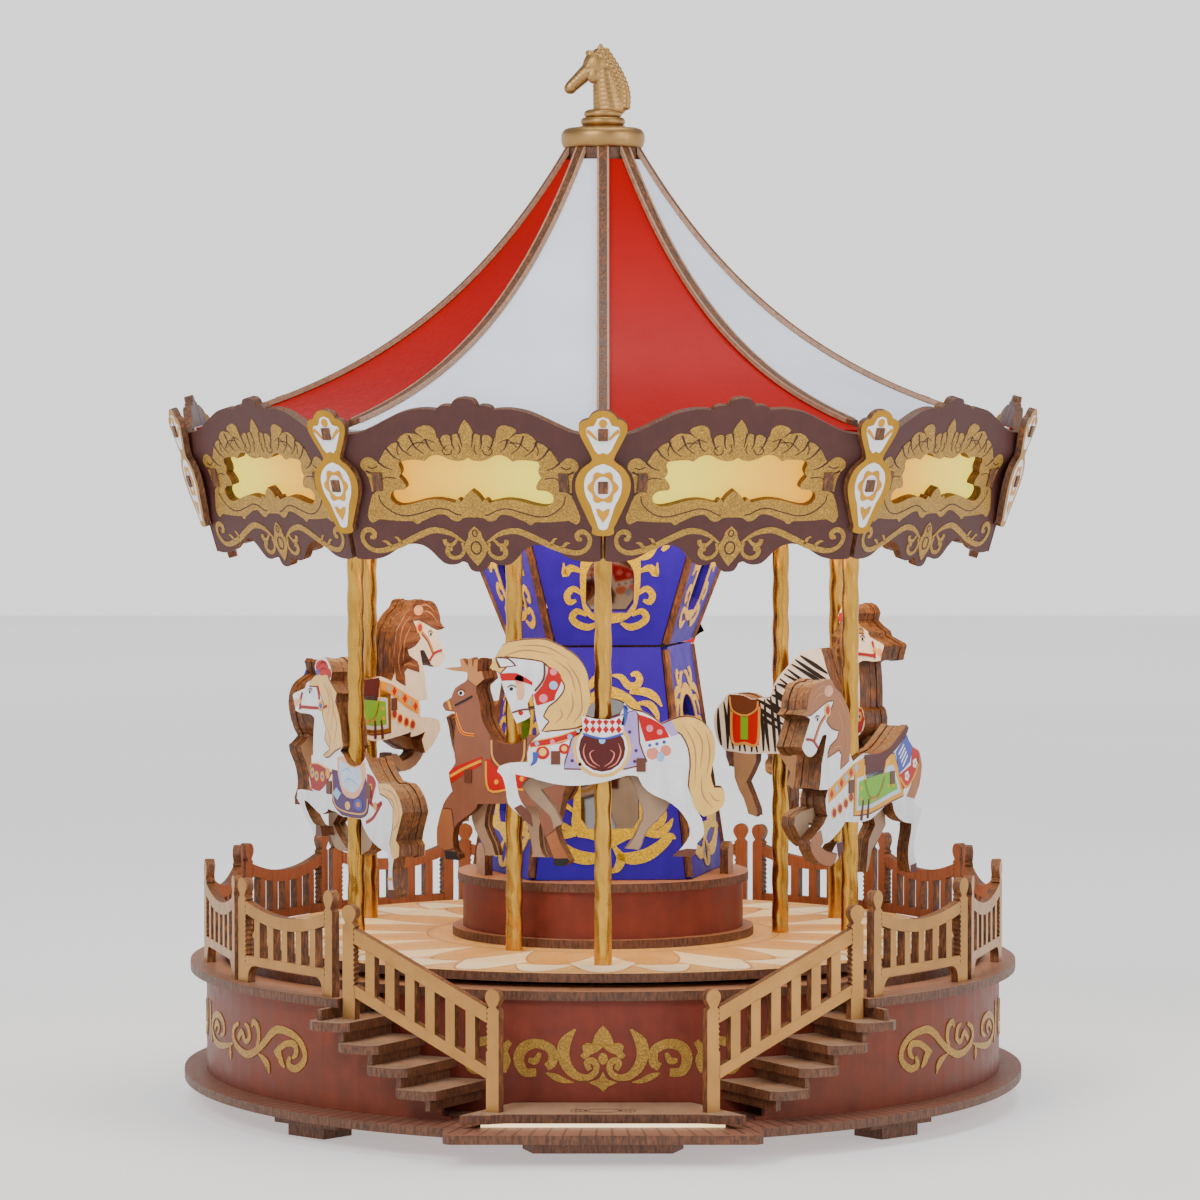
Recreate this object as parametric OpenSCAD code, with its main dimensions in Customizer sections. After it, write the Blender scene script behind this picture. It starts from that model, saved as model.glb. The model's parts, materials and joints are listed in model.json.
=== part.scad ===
// Carousel music box: a laser-cut plywood merry-go-round on a drum-shaped base.
// The spindle axis is vertical (+Z). The origin lies on the surface the box stands on,
// at the middle of the footprint; the spindle stands a little behind it.
// Angles called "phi" are counted from the front (-Y) towards +X.

/* [Plywood] */
// Thickness of the structural boards
ply = 2.5; // [2.4:0.1:2.6]
// Running clearance round the poles and the spindle
run_gap = 0.08; // [0.05:0.01:0.1]

/* [Base] */
// Radius of the base plate at its sides and back
base_r = 123.5; // [122:0.5:125]
// Reach of the oval front of the base plate
base_front = 143.5; // [142:0.5:145]
// Half width of the lobe under the landing
lobe_half = 43; // [41:1:45]
// Reach of that lobe
lobe_front = 147.5; // [146:0.5:149]
// Underside of the base plate above the ground
base_z = 6.4; // [6.4:0.1:7]
// Radius of the drum wall at its sides and back
drum_r = 117; // [116:0.5:118]
// Reach of the drum wall at the front
drum_front = 129; // [128:0.5:130]
// Top of the walkway above the ground
walk_z = 40.5; // [40:0.5:41]

/* [Turntable] */
// Radius of the turning disc
turntable_r = 103.5; // [102:0.5:105]
// Top of the turning disc
turntable_z = 47.1; // [47:0.1:47.5]
// Radius of the spindle
spindle_r = 4; // [3.5:0.5:4.5]
// Height of the top end of the spindle
spindle_top = 276; // [272:1:277]

/* [Gallopers] */
// Radius of a twisted pole
pole_r = 2.5; // [2.3:0.1:2.5]
// Circle that the six outer poles stand on
outer_pole_circle = 82; // [81:0.5:83]
// Circle that the three inner poles stand on
inner_pole_circle = 52.5; // [52:0.5:53]
// Rise and fall of a galloper
stroke = 16; // [12:1:16]
// Thickness of one animal, four plies together
animal_t = 8.4; // [8:0.1:8.6]

/* [Canopy] */
// Height of the canopy floor above the ground
canopy_z = 170; // [169:0.5:171]
// Corner radius of the fascia at its lower edge
fascia_low_r = 117; // [116.5:0.5:118]
// Corner radius of the fascia where its sides end
fascia_high_r = 127; // [126.5:0.5:128]
// Height that the roof edge curve sinks towards
roof_base_z = 184.5; // [184:0.5:186]
// Rise of the roof edge curve above that height
roof_rise = 114; // [112:1:116]
// Distance over which the roof edge curve falls away
roof_fall = 58; // [56:1:60]

/* [Hidden] */

$fn = 96;
e = 0.01;                     // overshoot of a cutting tool
fit = 0.2;                    // gap between boards that slot together
sides = 10;                   // sides of the canopy
half_side = 180 / sides;
tower_sides = 5;
tower_half = 180 / tower_sides;
tower_phase = 4; // [0:1:8]

// Heights of the base, from the ground up
foot_board_z = base_z / 2;
floor_z = base_z + ply;       // top of the base plate
walk_under = walk_z - ply;
stage_top = walk_z + ply;
turntable_under = turntable_z - ply;
wall_t = 1.5;                 // bent wall sheets
cartouche_top_r = fascia_low_r + (fascia_high_r - fascia_low_r) * 42.5 / 34.5;
axis_y = (lobe_front - cartouche_top_r) / 2;   // spindle behind the middle of the footprint

// ---------- curves ----------
function polar(r, a) = [r * cos(a), r * sin(a)];
function front_point(r, phi) = [r * sin(phi), -r * cos(phi)];
function arc(c, r, a0, a1, n) = [for (i = [0:n]) c + polar(r, a0 + (a1 - a0) * i / n)];
function oval_r(side, front, phi) =
    abs(phi) >= 90 ? side : 1 / sqrt(pow(sin(phi) / side, 2) + pow(cos(phi) / front, 2));
function oval_point(side, front, phi) = front_point(oval_r(side, front, phi), phi);
function oval(side, front, n = 120) =
    [for (i = [0:n - 1]) oval_point(side, front, -180 + 360 * i / n)];
function curve_at(p, q, r, s, t) =
    (2 * q + (r - p) * t + (2 * p - 5 * q + 4 * r - s) * t * t
    + (3 * q - p - 3 * r + s) * t * t * t) / 2;
function smooth(p, n = 3) =
    let (last = len(p) - 1)
    [for (i = [0:last - 1], k = [0:n - 1])
        curve_at(p[max(i - 1, 0)], p[i], p[i + 1], p[min(i + 2, last)], k / n), p[last]];
function both_halves(h) = concat(h, [for (i = [len(h) - 2:-1:1]) [-h[i][0], h[i][1]]]);

// ---------- placing ----------
module on_axis() { translate([0, axis_y, 0]) children(); }
module at_front_angle(phi) { rotate([0, 0, phi]) children(); }
module each_side() {
    children();
    mirror([1, 0, 0]) children();
}
module disc(r, z, h) { translate([0, 0, z]) cylinder(r = r, h = h); }
module ring(r_in, r_out, z, h) {
    difference() {
        disc(r_out, z, h);
        disc(r_in, z - 1, h + 2);
    }
}
module plate(outline, z, h) { translate([0, 0, z]) linear_extrude(h) polygon(outline); }
// Stands an outline (x, z) upright, its front face t/2 in front of the XZ plane
module upright(outline, t) { translate([0, t / 2, 0]) rotate([90, 0, 0]) linear_extrude(t) polygon(outline); }

// ---------- base ----------
foot_angles = [42, 138, 222, 318];
foot_r = 118;
module foot_board(w, d) {
    chamfer = 3;
    plate([[-w / 2 + chamfer, -d / 2], [w / 2 - chamfer, -d / 2], [w / 2, d / 2 - chamfer],
        [w / 2 - chamfer, d / 2], [-w / 2 + chamfer, d / 2], [-w / 2, d / 2 - chamfer]],
        foot_board_z, base_z - foot_board_z);
}
module base_feet() {
    lobe_board = [43.5, 12, 136];
    color("saddlebrown") on_axis() {
        for (phi = foot_angles) at_front_angle(phi) translate([0, -foot_r, 0]) {
            foot_board(30, 12);
            translate([-7, -5.5, 0]) cube([14, 11, foot_board_z]);
        }
        translate([0, -lobe_board[2], 0]) foot_board(lobe_board[0], lobe_board[1]);
    }
}

battery_hatch = [46, 18];
battery_y = 99;
speaker_r = 8;
speaker_at = front_point(67, -150);
module base_plate() {
    round_r = 3;
    color("rosybrown") on_axis() difference() {
        linear_extrude(ply + base_z) union() {
            polygon(oval(base_r, base_front));
            translate([-lobe_half, -lobe_front + round_r]) square([2 * lobe_half, 30]);
            translate([-lobe_half + round_r, -lobe_front]) square([2 * (lobe_half - round_r), 30]);
            for (s = [-1, 1]) translate([s * (lobe_half - round_r), -lobe_front + round_r])
                circle(round_r, $fn = 24);
        }
        translate([-150, -160, -1]) cube([300, 320, base_z + 1]);
        translate([-battery_hatch[0] / 2 - fit, battery_y - battery_hatch[1] / 2 - fit, 0])
            cube([battery_hatch[0] + 2 * fit, battery_hatch[1] + 2 * fit, 20]);
        for (a = [0:60:300]) translate([speaker_at[0] + 4 * cos(a), speaker_at[1] + 4 * sin(a), 0])
            cylinder(r = 1.2, h = 20, $fn = 24);
    }
}

module battery_cover() {
    color("saddlebrown") on_axis() translate([0, battery_y, base_z + ply / 2])
        cube([battery_hatch[0], battery_hatch[1], ply], center = true);
}
module battery_box() {
    box = [54, 21, 15];
    wall = 1.2;
    color("dimgray") on_axis() translate([0, battery_y, floor_z]) difference() {
        translate([-box[0] / 2, -box[1] / 2, 0]) cube(box);
        translate([-battery_hatch[0] / 2, -battery_hatch[1] / 2, -1])
            cube([battery_hatch[0], battery_hatch[1], box[2] - wall + 1]);
    }
}
module control_board() {
    board = [44, 12, 1.6];
    color("darkgreen") on_axis() translate([0, -66, floor_z]) {
        translate([-board[0] / 2, -board[1] / 2, 2]) cube(board);
        for (x = [-18, 18]) translate([x, 0, 0]) cylinder(r = 2, h = 2, $fn = 24);
        translate([-6, -3.5, 3.6]) cube([7, 7, 1.4]);
        translate([8, -3, 3.6]) cylinder(r = 2.5, h = 5, $fn = 24);
    }
}
module speaker() {
    color("black") on_axis() translate([speaker_at[0], speaker_at[1], floor_z]) {
        cylinder(r = speaker_r, h = 2.2);
        translate([0, 0, 2.2]) cylinder(r = 5, h = 2.6);
    }
}

// ---------- stairs: their own frame runs down the left flight ----------
rail_start = [-72.9, -104];          // foot of the upper post, from the spindle
rail_down = [0.8643, -0.5031];       // horizontal direction down the flight
flight_angle = atan2(rail_down[1], rail_down[0]);
tread_pitch = 9.3;
first_nose = 8.6;
tread_depth = 13;
tread_drop = 5.6;
first_tread_z = 34.9;
ring_end = 1.5;
treads = 4;
stair_clear_r = 109.7;               // the treads stop at the front riser
function nose(i) = i < 0 ? ring_end : first_nose + tread_pitch * i;
function tread_z(i) = i < 0 ? walk_z : first_tread_z - tread_drop * i;
// x runs down the flight, y inwards (towards the spindle)
module flight() { translate([rail_start[0], rail_start[1], 0]) rotate([0, 0, flight_angle]) children(); }

module stepped_cut() {
    for (i = [-1:treads - 1]) flight()
        translate([nose(i + 1) - tread_depth - 0.1, -30, tread_z(i + 1) - ply]) cube([70, 60, 60]);
}
module drum_wall() {
    front_gap = 19;
    steps = 96;
    function wall_phi(i) = front_gap + (360 - 2 * front_gap) * i / steps;
    function signed(a) = a > 180 ? a - 360 : a;
    band = concat([for (i = [0:steps]) oval_point(drum_r, drum_front, signed(wall_phi(i)))],
        [for (i = [steps:-1:0]) oval_point(drum_r - wall_t, drum_front - wall_t, signed(wall_phi(i)))]);
    color("sienna") on_axis() difference() {
        plate(band, floor_z, walk_under - floor_z);
        each_side() stepped_cut();
    }
}
riser_r = 109.5;
riser_half = 34;
module front_riser() {
    band = concat(arc([0, 0], riser_r, -90 - riser_half, -90 + riser_half, 32),
        arc([0, 0], riser_r - wall_t, -90 + riser_half, -90 - riser_half, 32));
    color("firebrick") on_axis() plate(band, floor_z, walk_z - floor_z);
}
former_angles = [50, 78, 106, 134, 155];
module drum_formers() {
    color("tan") on_axis() for (a = former_angles, s = [-1, 1]) at_front_angle(s * a)
        translate([-ply / 2, -113, floor_z]) cube([ply, 16, walk_under - floor_z]);
}
module ring_opening() {
    end = rail_start + ring_end * rail_down;
    in_dir = [0.5031, 0.8643];
    a = end + 30 * in_dir;
    b = end - 40 * in_dir;
    plate([a, b, [-b[0], b[1]], [-a[0], a[1]]], 0, 100);
}
module walkway_ring() {
    color("tan") on_axis() difference() {
        plate(oval(121.7, 134), walk_under, ply);
        disc(98.5, 0, 100);
        ring_opening();
    }
}
module stage_plate() { color("saddlebrown") on_axis() ring(95, 111.5, walk_z, ply); }

landing_z = first_tread_z - treads * tread_drop + 0.1;
landing_front = 136;
module landing_outline() {
    lip = 2;
    half = 38.6;
    back = [24.4, -111.6];
    polygon(both_halves(concat([[0, -landing_front + lip]],
        [[26, -landing_front + lip], [29.5, -landing_front + lip / 2], [31, -landing_front]],
        [[half, -landing_front], [back[0], back[1]], [0, back[1]]])));
}
button_at = -127;
button_w = 9;
button_d = 5.4;
button_gap = 0.25;
function ellipse(a, b, n = 32) = [for (i = [0:n - 1]) [a * cos(360 * i / n), b * sin(360 * i / n)]];
module front_landing() {
    strip = [60, 2, floor_z - 0];
    color("bisque") on_axis() {
        difference() {
            translate([0, 0, landing_z - ply]) linear_extrude(ply) landing_outline();
            translate([0, button_at, 0])
                plate(ellipse(button_w / 2 + button_gap, button_d / 2 + button_gap), 0, 30);
        }
        translate([-strip[0] / 2, -133, strip[2]]) cube([strip[0], strip[1], landing_z - ply - strip[2]]);
        translate([-18, -115, strip[2]]) cube([36, 2, landing_z - ply - strip[2]]);
    }
}
module start_button() {
    color("peru") on_axis() translate([0, button_at, 0])
        plate(ellipse(button_w / 2, button_d / 2), landing_z - ply, ply);
}
tread_out = 10;
tread_in = 21;
module stair_treads() {
    chamfer = 2.5;
    color("cornsilk") on_axis() each_side() for (i = [0:treads - 1]) difference() {
        flight() translate([nose(i), 0, tread_z(i) - ply]) linear_extrude(ply)
            polygon([[-tread_depth, -tread_out + chamfer], [-tread_depth + chamfer, -tread_out],
                [-chamfer, -tread_out], [0, -tread_out + chamfer], [0, tread_in], [-tread_depth, tread_in]]);
        disc(stair_clear_r, 0, 60);
    }
}
module stair_risers() {
    setback = 3.5;
    out = 7.5;
    color("antiquewhite") on_axis() each_side() for (i = [-1:treads - 1]) difference() {
        flight() translate([nose(i) - setback, -out, tread_z(i + 1)])
            cube([wall_t, out + tread_in, tread_z(i) - ply - tread_z(i + 1)]);
        disc(stair_clear_r, 0, 60);
    }
}

// ---------- fences ----------
post_h = 29.5;
post_w = 4;
ball_r = 2.3;
scallop = 1.4;
// Outline of a post with a ball on top and a scalloped inner edge, left edge at x = 0
function post_outline(z0, h, s) =
    concat([[0, z0]],
        [[0, z0 + h - 2 * ball_r - 1.2], [0.9, z0 + h - 2 * ball_r - 0.4]],
        arc([post_w / 2, z0 + h - ball_r], ball_r, 215, -35, 10),
        [[post_w - 0.9, z0 + h - 2 * ball_r - 0.4], [post_w, z0 + h - 2 * ball_r - 1.2]],
        [for (k = [0:s]) each [[post_w, z0 + h - 2 * ball_r - 1.4 - k * scallop],
            [post_w - 0.45, z0 + h - 2 * ball_r - 1.4 - (k + 0.5) * scallop]]],
        [[post_w, z0 + h - 2 * ball_r - 1.4 - (s + 1) * scallop], [post_w, z0]]);
module fence_board(chord) {
    top_at_post = 23;
    sag = 3.2;
    rail_t = 3.5;
    low = 5;
    low_t = 2.6;
    bar_w = 2.8;
    bars = 5;
    inner = chord - 2 * post_w;
    foot_w = 5;
    foot_r = 3.5;
    lap = 1;
    function rail_z(x) = top_at_post - sag * (1 - pow(2 * x / inner - 1, 2));
    function rail_x(i) = post_w - lap + (inner + 2 * lap) * i / 10;
    top_rail = concat([for (i = [0:10]) [rail_x(i), rail_z(rail_x(i) - post_w)]],
        [for (i = [10:-1:0]) [rail_x(i), rail_z(rail_x(i) - post_w) - rail_t]]);
    gap = (inner - bars * bar_w) / (bars + 1);
    translate([0, ply / 2, 0]) rotate([90, 0, 0]) linear_extrude(ply) union() {
        polygon(post_outline(0, post_h, 12));
        translate([chord, 0]) mirror([1, 0]) polygon(post_outline(0, post_h, 12));
        polygon(top_rail);
        translate([post_w - lap, low]) square([inner + 2 * lap, low_t]);
        for (i = [1:bars]) translate([post_w + i * gap + (i - 1) * bar_w, low + lap])
            square([bar_w, rail_z(i * gap + (i - 0.5) * bar_w) - low - lap - rail_t / 2]);
        for (s = [0, 1]) translate([s * chord, 0]) mirror([s, 0])
            polygon(concat([[post_w - lap, 0], [foot_w, 0]],
                arc([foot_w + foot_r, low - foot_r], foot_r, 180, 96, 6),
                [[foot_w + foot_r, low + lap / 2], [post_w - lap, low + lap / 2]]));
    }
}
fence_posts = [[72.9, -104], [103, -63.5], [116, -14], [110, 36], [86, 78], [47, 106], [0, 116]];
fence_trim = 1.3;
module fence_run(side) {
    for (i = [0:len(fence_posts) - 2]) {
        p = [side * fence_posts[i][0], fence_posts[i][1]];
        q = [side * fence_posts[i + 1][0], fence_posts[i + 1][1]];
        chord = norm(q - p) - 2 * fence_trim;
        translate([p[0], p[1], walk_z]) rotate([0, 0, atan2(q[1] - p[1], q[0] - p[0])])
            translate([fence_trim, 0, 0]) fence_board(chord);
    }
}
module left_fence_boards() { color("goldenrod") on_axis() fence_run(-1); }
module right_fence_boards() { color("goldenrod") on_axis() fence_run(1); }

rail_length = 49.65;
rail_top_high = 62.7;
rail_top_low = 40.6;
rail_foot_high = 43.9;
rail_foot_low = 21.1;
newel_h = 33.5;
function rail_at(high, low, x) = high + (low - high) * x / rail_length;
module stair_railing() {
    rail_t = 4.2;
    low_t = 3.4;
    bar_w = 3;
    bars = 6;
    start = 2.2;
    newel_x = rail_length - 1.2;
    post_top = 66.5;
    inner0 = start + post_w;
    gap = (newel_x - inner0 - bars * bar_w) / (bars + 1);
    function bar_x(i) = inner0 + i * gap + (i - 1) * bar_w;
    translate([0, ply / 2, 0]) rotate([90, 0, 0]) linear_extrude(ply) union() {
        translate([start, 0]) polygon(post_outline(tread_z(0), post_top - tread_z(0), 11));
        translate([newel_x + post_w, 0]) mirror([1, 0]) polygon(post_outline(landing_z, newel_h, 7));
        polygon([[inner0 - e, rail_at(rail_top_high, rail_top_low, inner0)],
            [newel_x + e, rail_at(rail_top_high, rail_top_low, newel_x)],
            [newel_x + e, rail_at(rail_top_high, rail_top_low, newel_x) - rail_t],
            [inner0 - e, rail_at(rail_top_high, rail_top_low, inner0) - rail_t]]);
        polygon([[inner0 - e, rail_at(rail_foot_high, rail_foot_low, inner0) + low_t],
            [newel_x + e, rail_at(rail_foot_high, rail_foot_low, newel_x) + low_t],
            [newel_x + e, rail_at(rail_foot_high, rail_foot_low, newel_x)],
            [inner0 - e, rail_at(rail_foot_high, rail_foot_low, inner0)]]);
        for (i = [1:bars]) polygon([
            [bar_x(i), rail_at(rail_foot_high, rail_foot_low, bar_x(i)) + 1],
            [bar_x(i) + bar_w, rail_at(rail_foot_high, rail_foot_low, bar_x(i) + bar_w) + 1],
            [bar_x(i) + bar_w, rail_at(rail_top_high, rail_top_low, bar_x(i) + bar_w) - 2],
            [bar_x(i), rail_at(rail_top_high, rail_top_low, bar_x(i)) - 2]]);
    }
}
module stair_railings() { color("goldenrod") on_axis() each_side() flight() stair_railing(); }

// ---------- drive ----------
gear_module = 1.25;
wheel_teeth = 48;
pinion_teeth = 12;
gear_z = 26.5;
gear_t = 4;
pinion_phi = 150;
pinion_at = front_point(gear_module * (wheel_teeth + pinion_teeth) / 2, pinion_phi);
// Gear outline with involute flanks; phase turns it by a part of a tooth
function involute(r_base, r) = r <= r_base ? 0 : let (a = acos(r_base / r)) tan(a) * 180 / PI - a;
function gear_outline(teeth, phase) =
    let (r_pitch = gear_module * teeth / 2, r_base = r_pitch * cos(20),
        r_root = r_pitch - 1.2 * gear_module, r_tip = r_pitch + 0.7 * gear_module,
        play = 0.16 / r_pitch * 180 / PI,
        flank = [r_root, max(r_base, r_root + 0.3), r_pitch, (r_pitch + r_tip) / 2, r_tip])
    [for (t = [0:teeth - 1]) let (mid = (t + phase) * 360 / teeth)
        each concat(
            [for (r = flank) polar(r, mid - (90 / teeth - play + involute(r_base, r_pitch)
                - involute(r_base, r)))],
            [for (k = [4:-1:0]) let (r = flank[k]) polar(r, mid + (90 / teeth - play
                + involute(r_base, r_pitch) - involute(r_base, r)))])];
module ring_gear() {
    mesh_angle = atan2(pinion_at[1], pinion_at[0]);
    color("whitesmoke") on_axis() difference() {
        rotate([0, 0, mesh_angle]) union() {
            plate(gear_outline(wheel_teeth, 0), gear_z, gear_t);
            disc(9, gear_z + gear_t, 4);
        }
        disc(spindle_r, 0, 60);
    }
}
motor_shaft_r = 1.5;
module drive_pinion() {
    mesh_angle = atan2(pinion_at[1], pinion_at[0]);
    color("whitesmoke") on_axis() translate([pinion_at[0], pinion_at[1], 0]) difference() {
        rotate([0, 0, mesh_angle + 180]) plate(gear_outline(pinion_teeth, 0.5), gear_z, gear_t);
        disc(motor_shaft_r + run_gap, 0, 60);
    }
}
module gear_motor() {
    color("silver") on_axis() translate([pinion_at[0], pinion_at[1], floor_z]) {
        cylinder(r = 9, h = 13);
        cylinder(r = 3.5, h = 16);
        cylinder(r = motor_shaft_r, h = gear_z + gear_t - floor_z + 1);
    }
}
module spindle_bearing() {
    color("silver") on_axis() difference() {
        union() {
            disc(16, floor_z, 3);
            disc(8.5, floor_z, 17);
        }
        disc(spindle_r + run_gap, floor_z + 1, 60);
    }
}
// Wave-shaped tracks under the pole feet, three crests round the circle
track_crest = 24.7;
track_wave = 5.5;
track_half = 4;
module wave_track(r_mid) {
    n = 72;
    function top_z(i) = track_crest - track_wave * (1 - cos(3 * 360 * i / n));
    function at(i, r, z) = [r * cos(360 * i / n), r * sin(360 * i / n), z];
    points = [for (i = [0:n - 1]) each [at(i, r_mid - track_half, floor_z),
        at(i, r_mid + track_half, floor_z), at(i, r_mid + track_half, top_z(i)),
        at(i, r_mid - track_half, top_z(i))]];
    faces = [for (i = [0:n - 1], k = [0:3]) let (j = (i + 1) % n, m = (k + 1) % 4)
        each [[4 * i + k, 4 * j + k, 4 * j + m], [4 * i + k, 4 * j + m, 4 * i + m]]];
    polyhedron(points, [for (f = faces) [f[2], f[1], f[0]]]);
}
module cam_ring() {
    color("whitesmoke") on_axis() {
        wave_track(outer_pole_circle);
        wave_track(inner_pole_circle);
    }
}

// ---------- turntable and plinth ----------
outer_phi = [0, -60, -120, 180, 120, 60];
inner_phi = [-29, 91, 211];
pole_spots = concat([for (p = outer_phi) front_point(outer_pole_circle, p)],
    [for (p = inner_phi) front_point(inner_pole_circle, p)]);
module pole_holes() {
    for (p = pole_spots) translate([p[0], p[1], 0]) cylinder(r = pole_r + run_gap, h = 300);
}
module turntable_disc() {
    color("wheat") on_axis() difference() {
        disc(turntable_r, turntable_under, ply);
        disc(spindle_r, 0, 100);
        pole_holes();
    }
}
module centre_spindle() {
    color("silver") on_axis() {
        disc(spindle_r, floor_z + 1.5, spindle_top - floor_z - 1.5);
        difference() {
            disc(14, turntable_under - 2, 2);
            disc(spindle_r - 1, 0, 60);
        }
    }
}
plinth_low_z = turntable_z + ply;
plinth_top_z = 63.2;
tower_z = plinth_top_z + ply;
module plinth_lower_disc() { color("tan") on_axis() ring(spindle_r, 44.5, turntable_z, ply); }
module plinth_wall() {
    color("brown") on_axis() ring(41.4 - wall_t, 41.4, plinth_low_z, plinth_top_z - plinth_low_z);
}
module plinth_upper_disc() { color("tan") on_axis() ring(spindle_r, 43, plinth_top_z, ply); }

// ---------- tower ----------
tower_low_r = 39.5;
waist_r = 28.5;
tower_high_r = 44;
waist_z = 133;
panel_t = 1.6;
corner_gap = 1.5;
// Five leaning trapezium panels between two pentagons, with an opening in each
module tower_faces(r0, z0, r1, z1, opening) {
    a0 = r0 * cos(tower_half);
    a1 = r1 * cos(tower_half);
    lean = atan((a1 - a0) / (z1 - z0));
    slant = (z1 - z0) / cos(lean);
    w0 = r0 * sin(tower_half) - corner_gap;
    w1 = r1 * sin(tower_half) - corner_gap;
    lift = panel_t * abs(sin(lean));
    for (k = [0:tower_sides - 1]) at_front_angle(tower_phase + k * 2 * tower_half)
        translate([0, -a0, z0]) rotate([lean, 0, 0]) difference() {
            translate([0, panel_t, 0]) rotate([90, 0, 0]) linear_extrude(panel_t)
                polygon([[-w0, lift], [w0, lift], [w1, slant - lift], [-w1, slant - lift]]);
            translate([0, 5, slant / 2]) rotate([90, 0, 0]) linear_extrude(10) polygon(opening);
        }
}
function arched(w, h) = both_halves(concat([[0, -h / 2], [w / 2 - 2, -h / 2], [w / 2, -h / 2 + 3]],
    arc([0, h / 2 - w / 2], w / 2, 0, 90, 8)));
low_window = arched(17, 38);
high_window = arched(14, 18);
module tower_lower_panels() {
    color("mediumblue") on_axis() tower_faces(tower_low_r, tower_z, waist_r, waist_z, low_window);
}
module tower_upper_panels() {
    color("mediumblue") on_axis() tower_faces(waist_r, waist_z, tower_high_r, canopy_z, high_window);
}
// Mirrors rest against the inner faces of the panels
module mirror_set(r0, z0, r1, z1, w, h) {
    a0 = r0 * cos(tower_half);
    a1 = r1 * cos(tower_half);
    lean = atan((a1 - a0) / (z1 - z0));
    slant = (z1 - z0) / cos(lean);
    for (k = [0:tower_sides - 1]) at_front_angle(tower_phase + k * 2 * tower_half)
        translate([0, -a0, z0]) rotate([lean, 0, 0])
            translate([-w / 2, panel_t, slant / 2 - h / 2]) cube([w, 1, h]);
}
module tower_mirrors() {
    color("lightsteelblue") on_axis() {
        mirror_set(tower_low_r, tower_z, waist_r, waist_z, 19, 42);
        mirror_set(waist_r, waist_z, tower_high_r, canopy_z, 16, 21);
    }
}
// Narrow corner strips and the two pentagon formers that the panels lean on
module corner_strips(r0, z0, r1, z1) {
    proud = 0.35;
    root = 2.2;
    half = 0.9;
    lean = atan((r1 - r0) / (z1 - z0));
    slant = (z1 - z0) / cos(lean);
    trim = 0.9;
    for (k = [0:tower_sides - 1]) at_front_angle(tower_phase + tower_half + k * 2 * tower_half)
        translate([0, -r0, z0]) rotate([lean, 0, 0]) translate([0, 0, trim])
            linear_extrude(slant - 2 * trim)
                polygon([[-half, -proud], [half, -proud], [half, 0.8], [0.12, root], [-0.12, root],
                    [-half, 0.8]]);
}
module pentagon(r, z, h) { translate([0, 0, z]) rotate([0, 0, -90 + tower_half + tower_phase]) cylinder(r = r, h = h, $fn = 5); }
module tower_frame() {
    color("sienna") on_axis() {
        corner_strips(tower_low_r, tower_z, waist_r, waist_z);
        corner_strips(waist_r, waist_z, tower_high_r, canopy_z);
        for (level = [[33, tower_z, ply], [waist_r - 4.6, waist_z - ply, 2 * ply], [36, canopy_z - ply, ply]])
            difference() {
                pentagon(level[0], level[1], level[2]);
                disc(spindle_r, 0, 300);
            }
    }
}

// ---------- canopy ----------
fascia_low_z = 161.5;
fascia_high_z = 196;
fascia_low_a = fascia_low_r * cos(half_side);
fascia_lean = atan((fascia_high_r - fascia_low_r) * cos(half_side) / (fascia_high_z - fascia_low_z));
// Height above the ground turned into height along the leaning board
function on_board(p) = [for (q = p) [q[0], (q[1] - fascia_low_z) / cos(fascia_lean)]];
function side_x(z) = (fascia_low_a + (z - fascia_low_z) * tan(fascia_lean)) * tan(half_side) - 0.85;
module fascia_place() {
    for (k = [0:sides - 1]) at_front_angle(half_side + k * 2 * half_side)
        translate([0, -fascia_low_a, fascia_low_z]) rotate([fascia_lean, 0, 0]) children();
}
crest_half = concat([[0, 205.5]], smooth([[0.9, 205.4], [2.6, 205], [3.5, 203.9], [3.8, 203.2]]),
    smooth([[4.6, 203.5], [6.2, 203.5], [7.6, 203], [8.2, 202.2]]),
    smooth([[9, 202.4], [13, 202.5], [18, 201.6], [22.8, 199.6], [27.5, 197.4], [31.6, 195.9],
        [side_x(195.3), 195.3]]));
foot_half = concat(smooth([[side_x(161.3), 161.3], [33, 161], [29.5, 161.2], [26.5, 162], [23.5, 163.7],
        [21, 165], [18.2, 165.5], [15.5, 165.1], [13.2, 163.6], [11.3, 161.6], [9.6, 160.2],
        [7.5, 159.8], [5.6, 160.1], [4.3, 160.7], [3, 160.3]]),
    smooth([[2.7, 159.4], [2, 158.4], [0.9, 157.95], [0, 157.9]]));
window_half = concat([[0, 189.3], [1.4, 188.6]],
    smooth([[3.2, 188.4], [5.6, 188.9], [7.4, 189.8], [9.4, 190.1], [11.3, 189.5]]),
    [[12.8, 188.3]], smooth([[14, 188.7], [17, 188.7], [20, 188.3]]),
    smooth([[20.4, 187.3], [19.9, 186], [20, 184.9], [20.6, 184]]),
    smooth([[19.6, 182.9], [19, 181.9], [18.9, 180.9], [19.6, 180.5]]),
    smooth([[21.6, 180.4], [23, 179.7], [23.6, 178.6], [23.2, 177.4], [22.2, 176.5], [20.5, 176.1],
        [17.4, 176.6], [13.5, 177.6], [9.5, 177.9], [4.9, 177]]),
    [[4.3, 177.9], [3.6, 177.9], [3.1, 177.3]],
    smooth([[2.4, 178.2], [1.6, 179.2], [0, 180.4]]));
module frieze_panels() {
    color("saddlebrown") on_axis() fascia_place() translate([0, ply, 0]) rotate([90, 0, 0])
        linear_extrude(ply) difference() {
            polygon(on_board(both_halves(concat(crest_half, foot_half))));
            polygon(on_board(both_halves(window_half)));
        }
}
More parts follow.
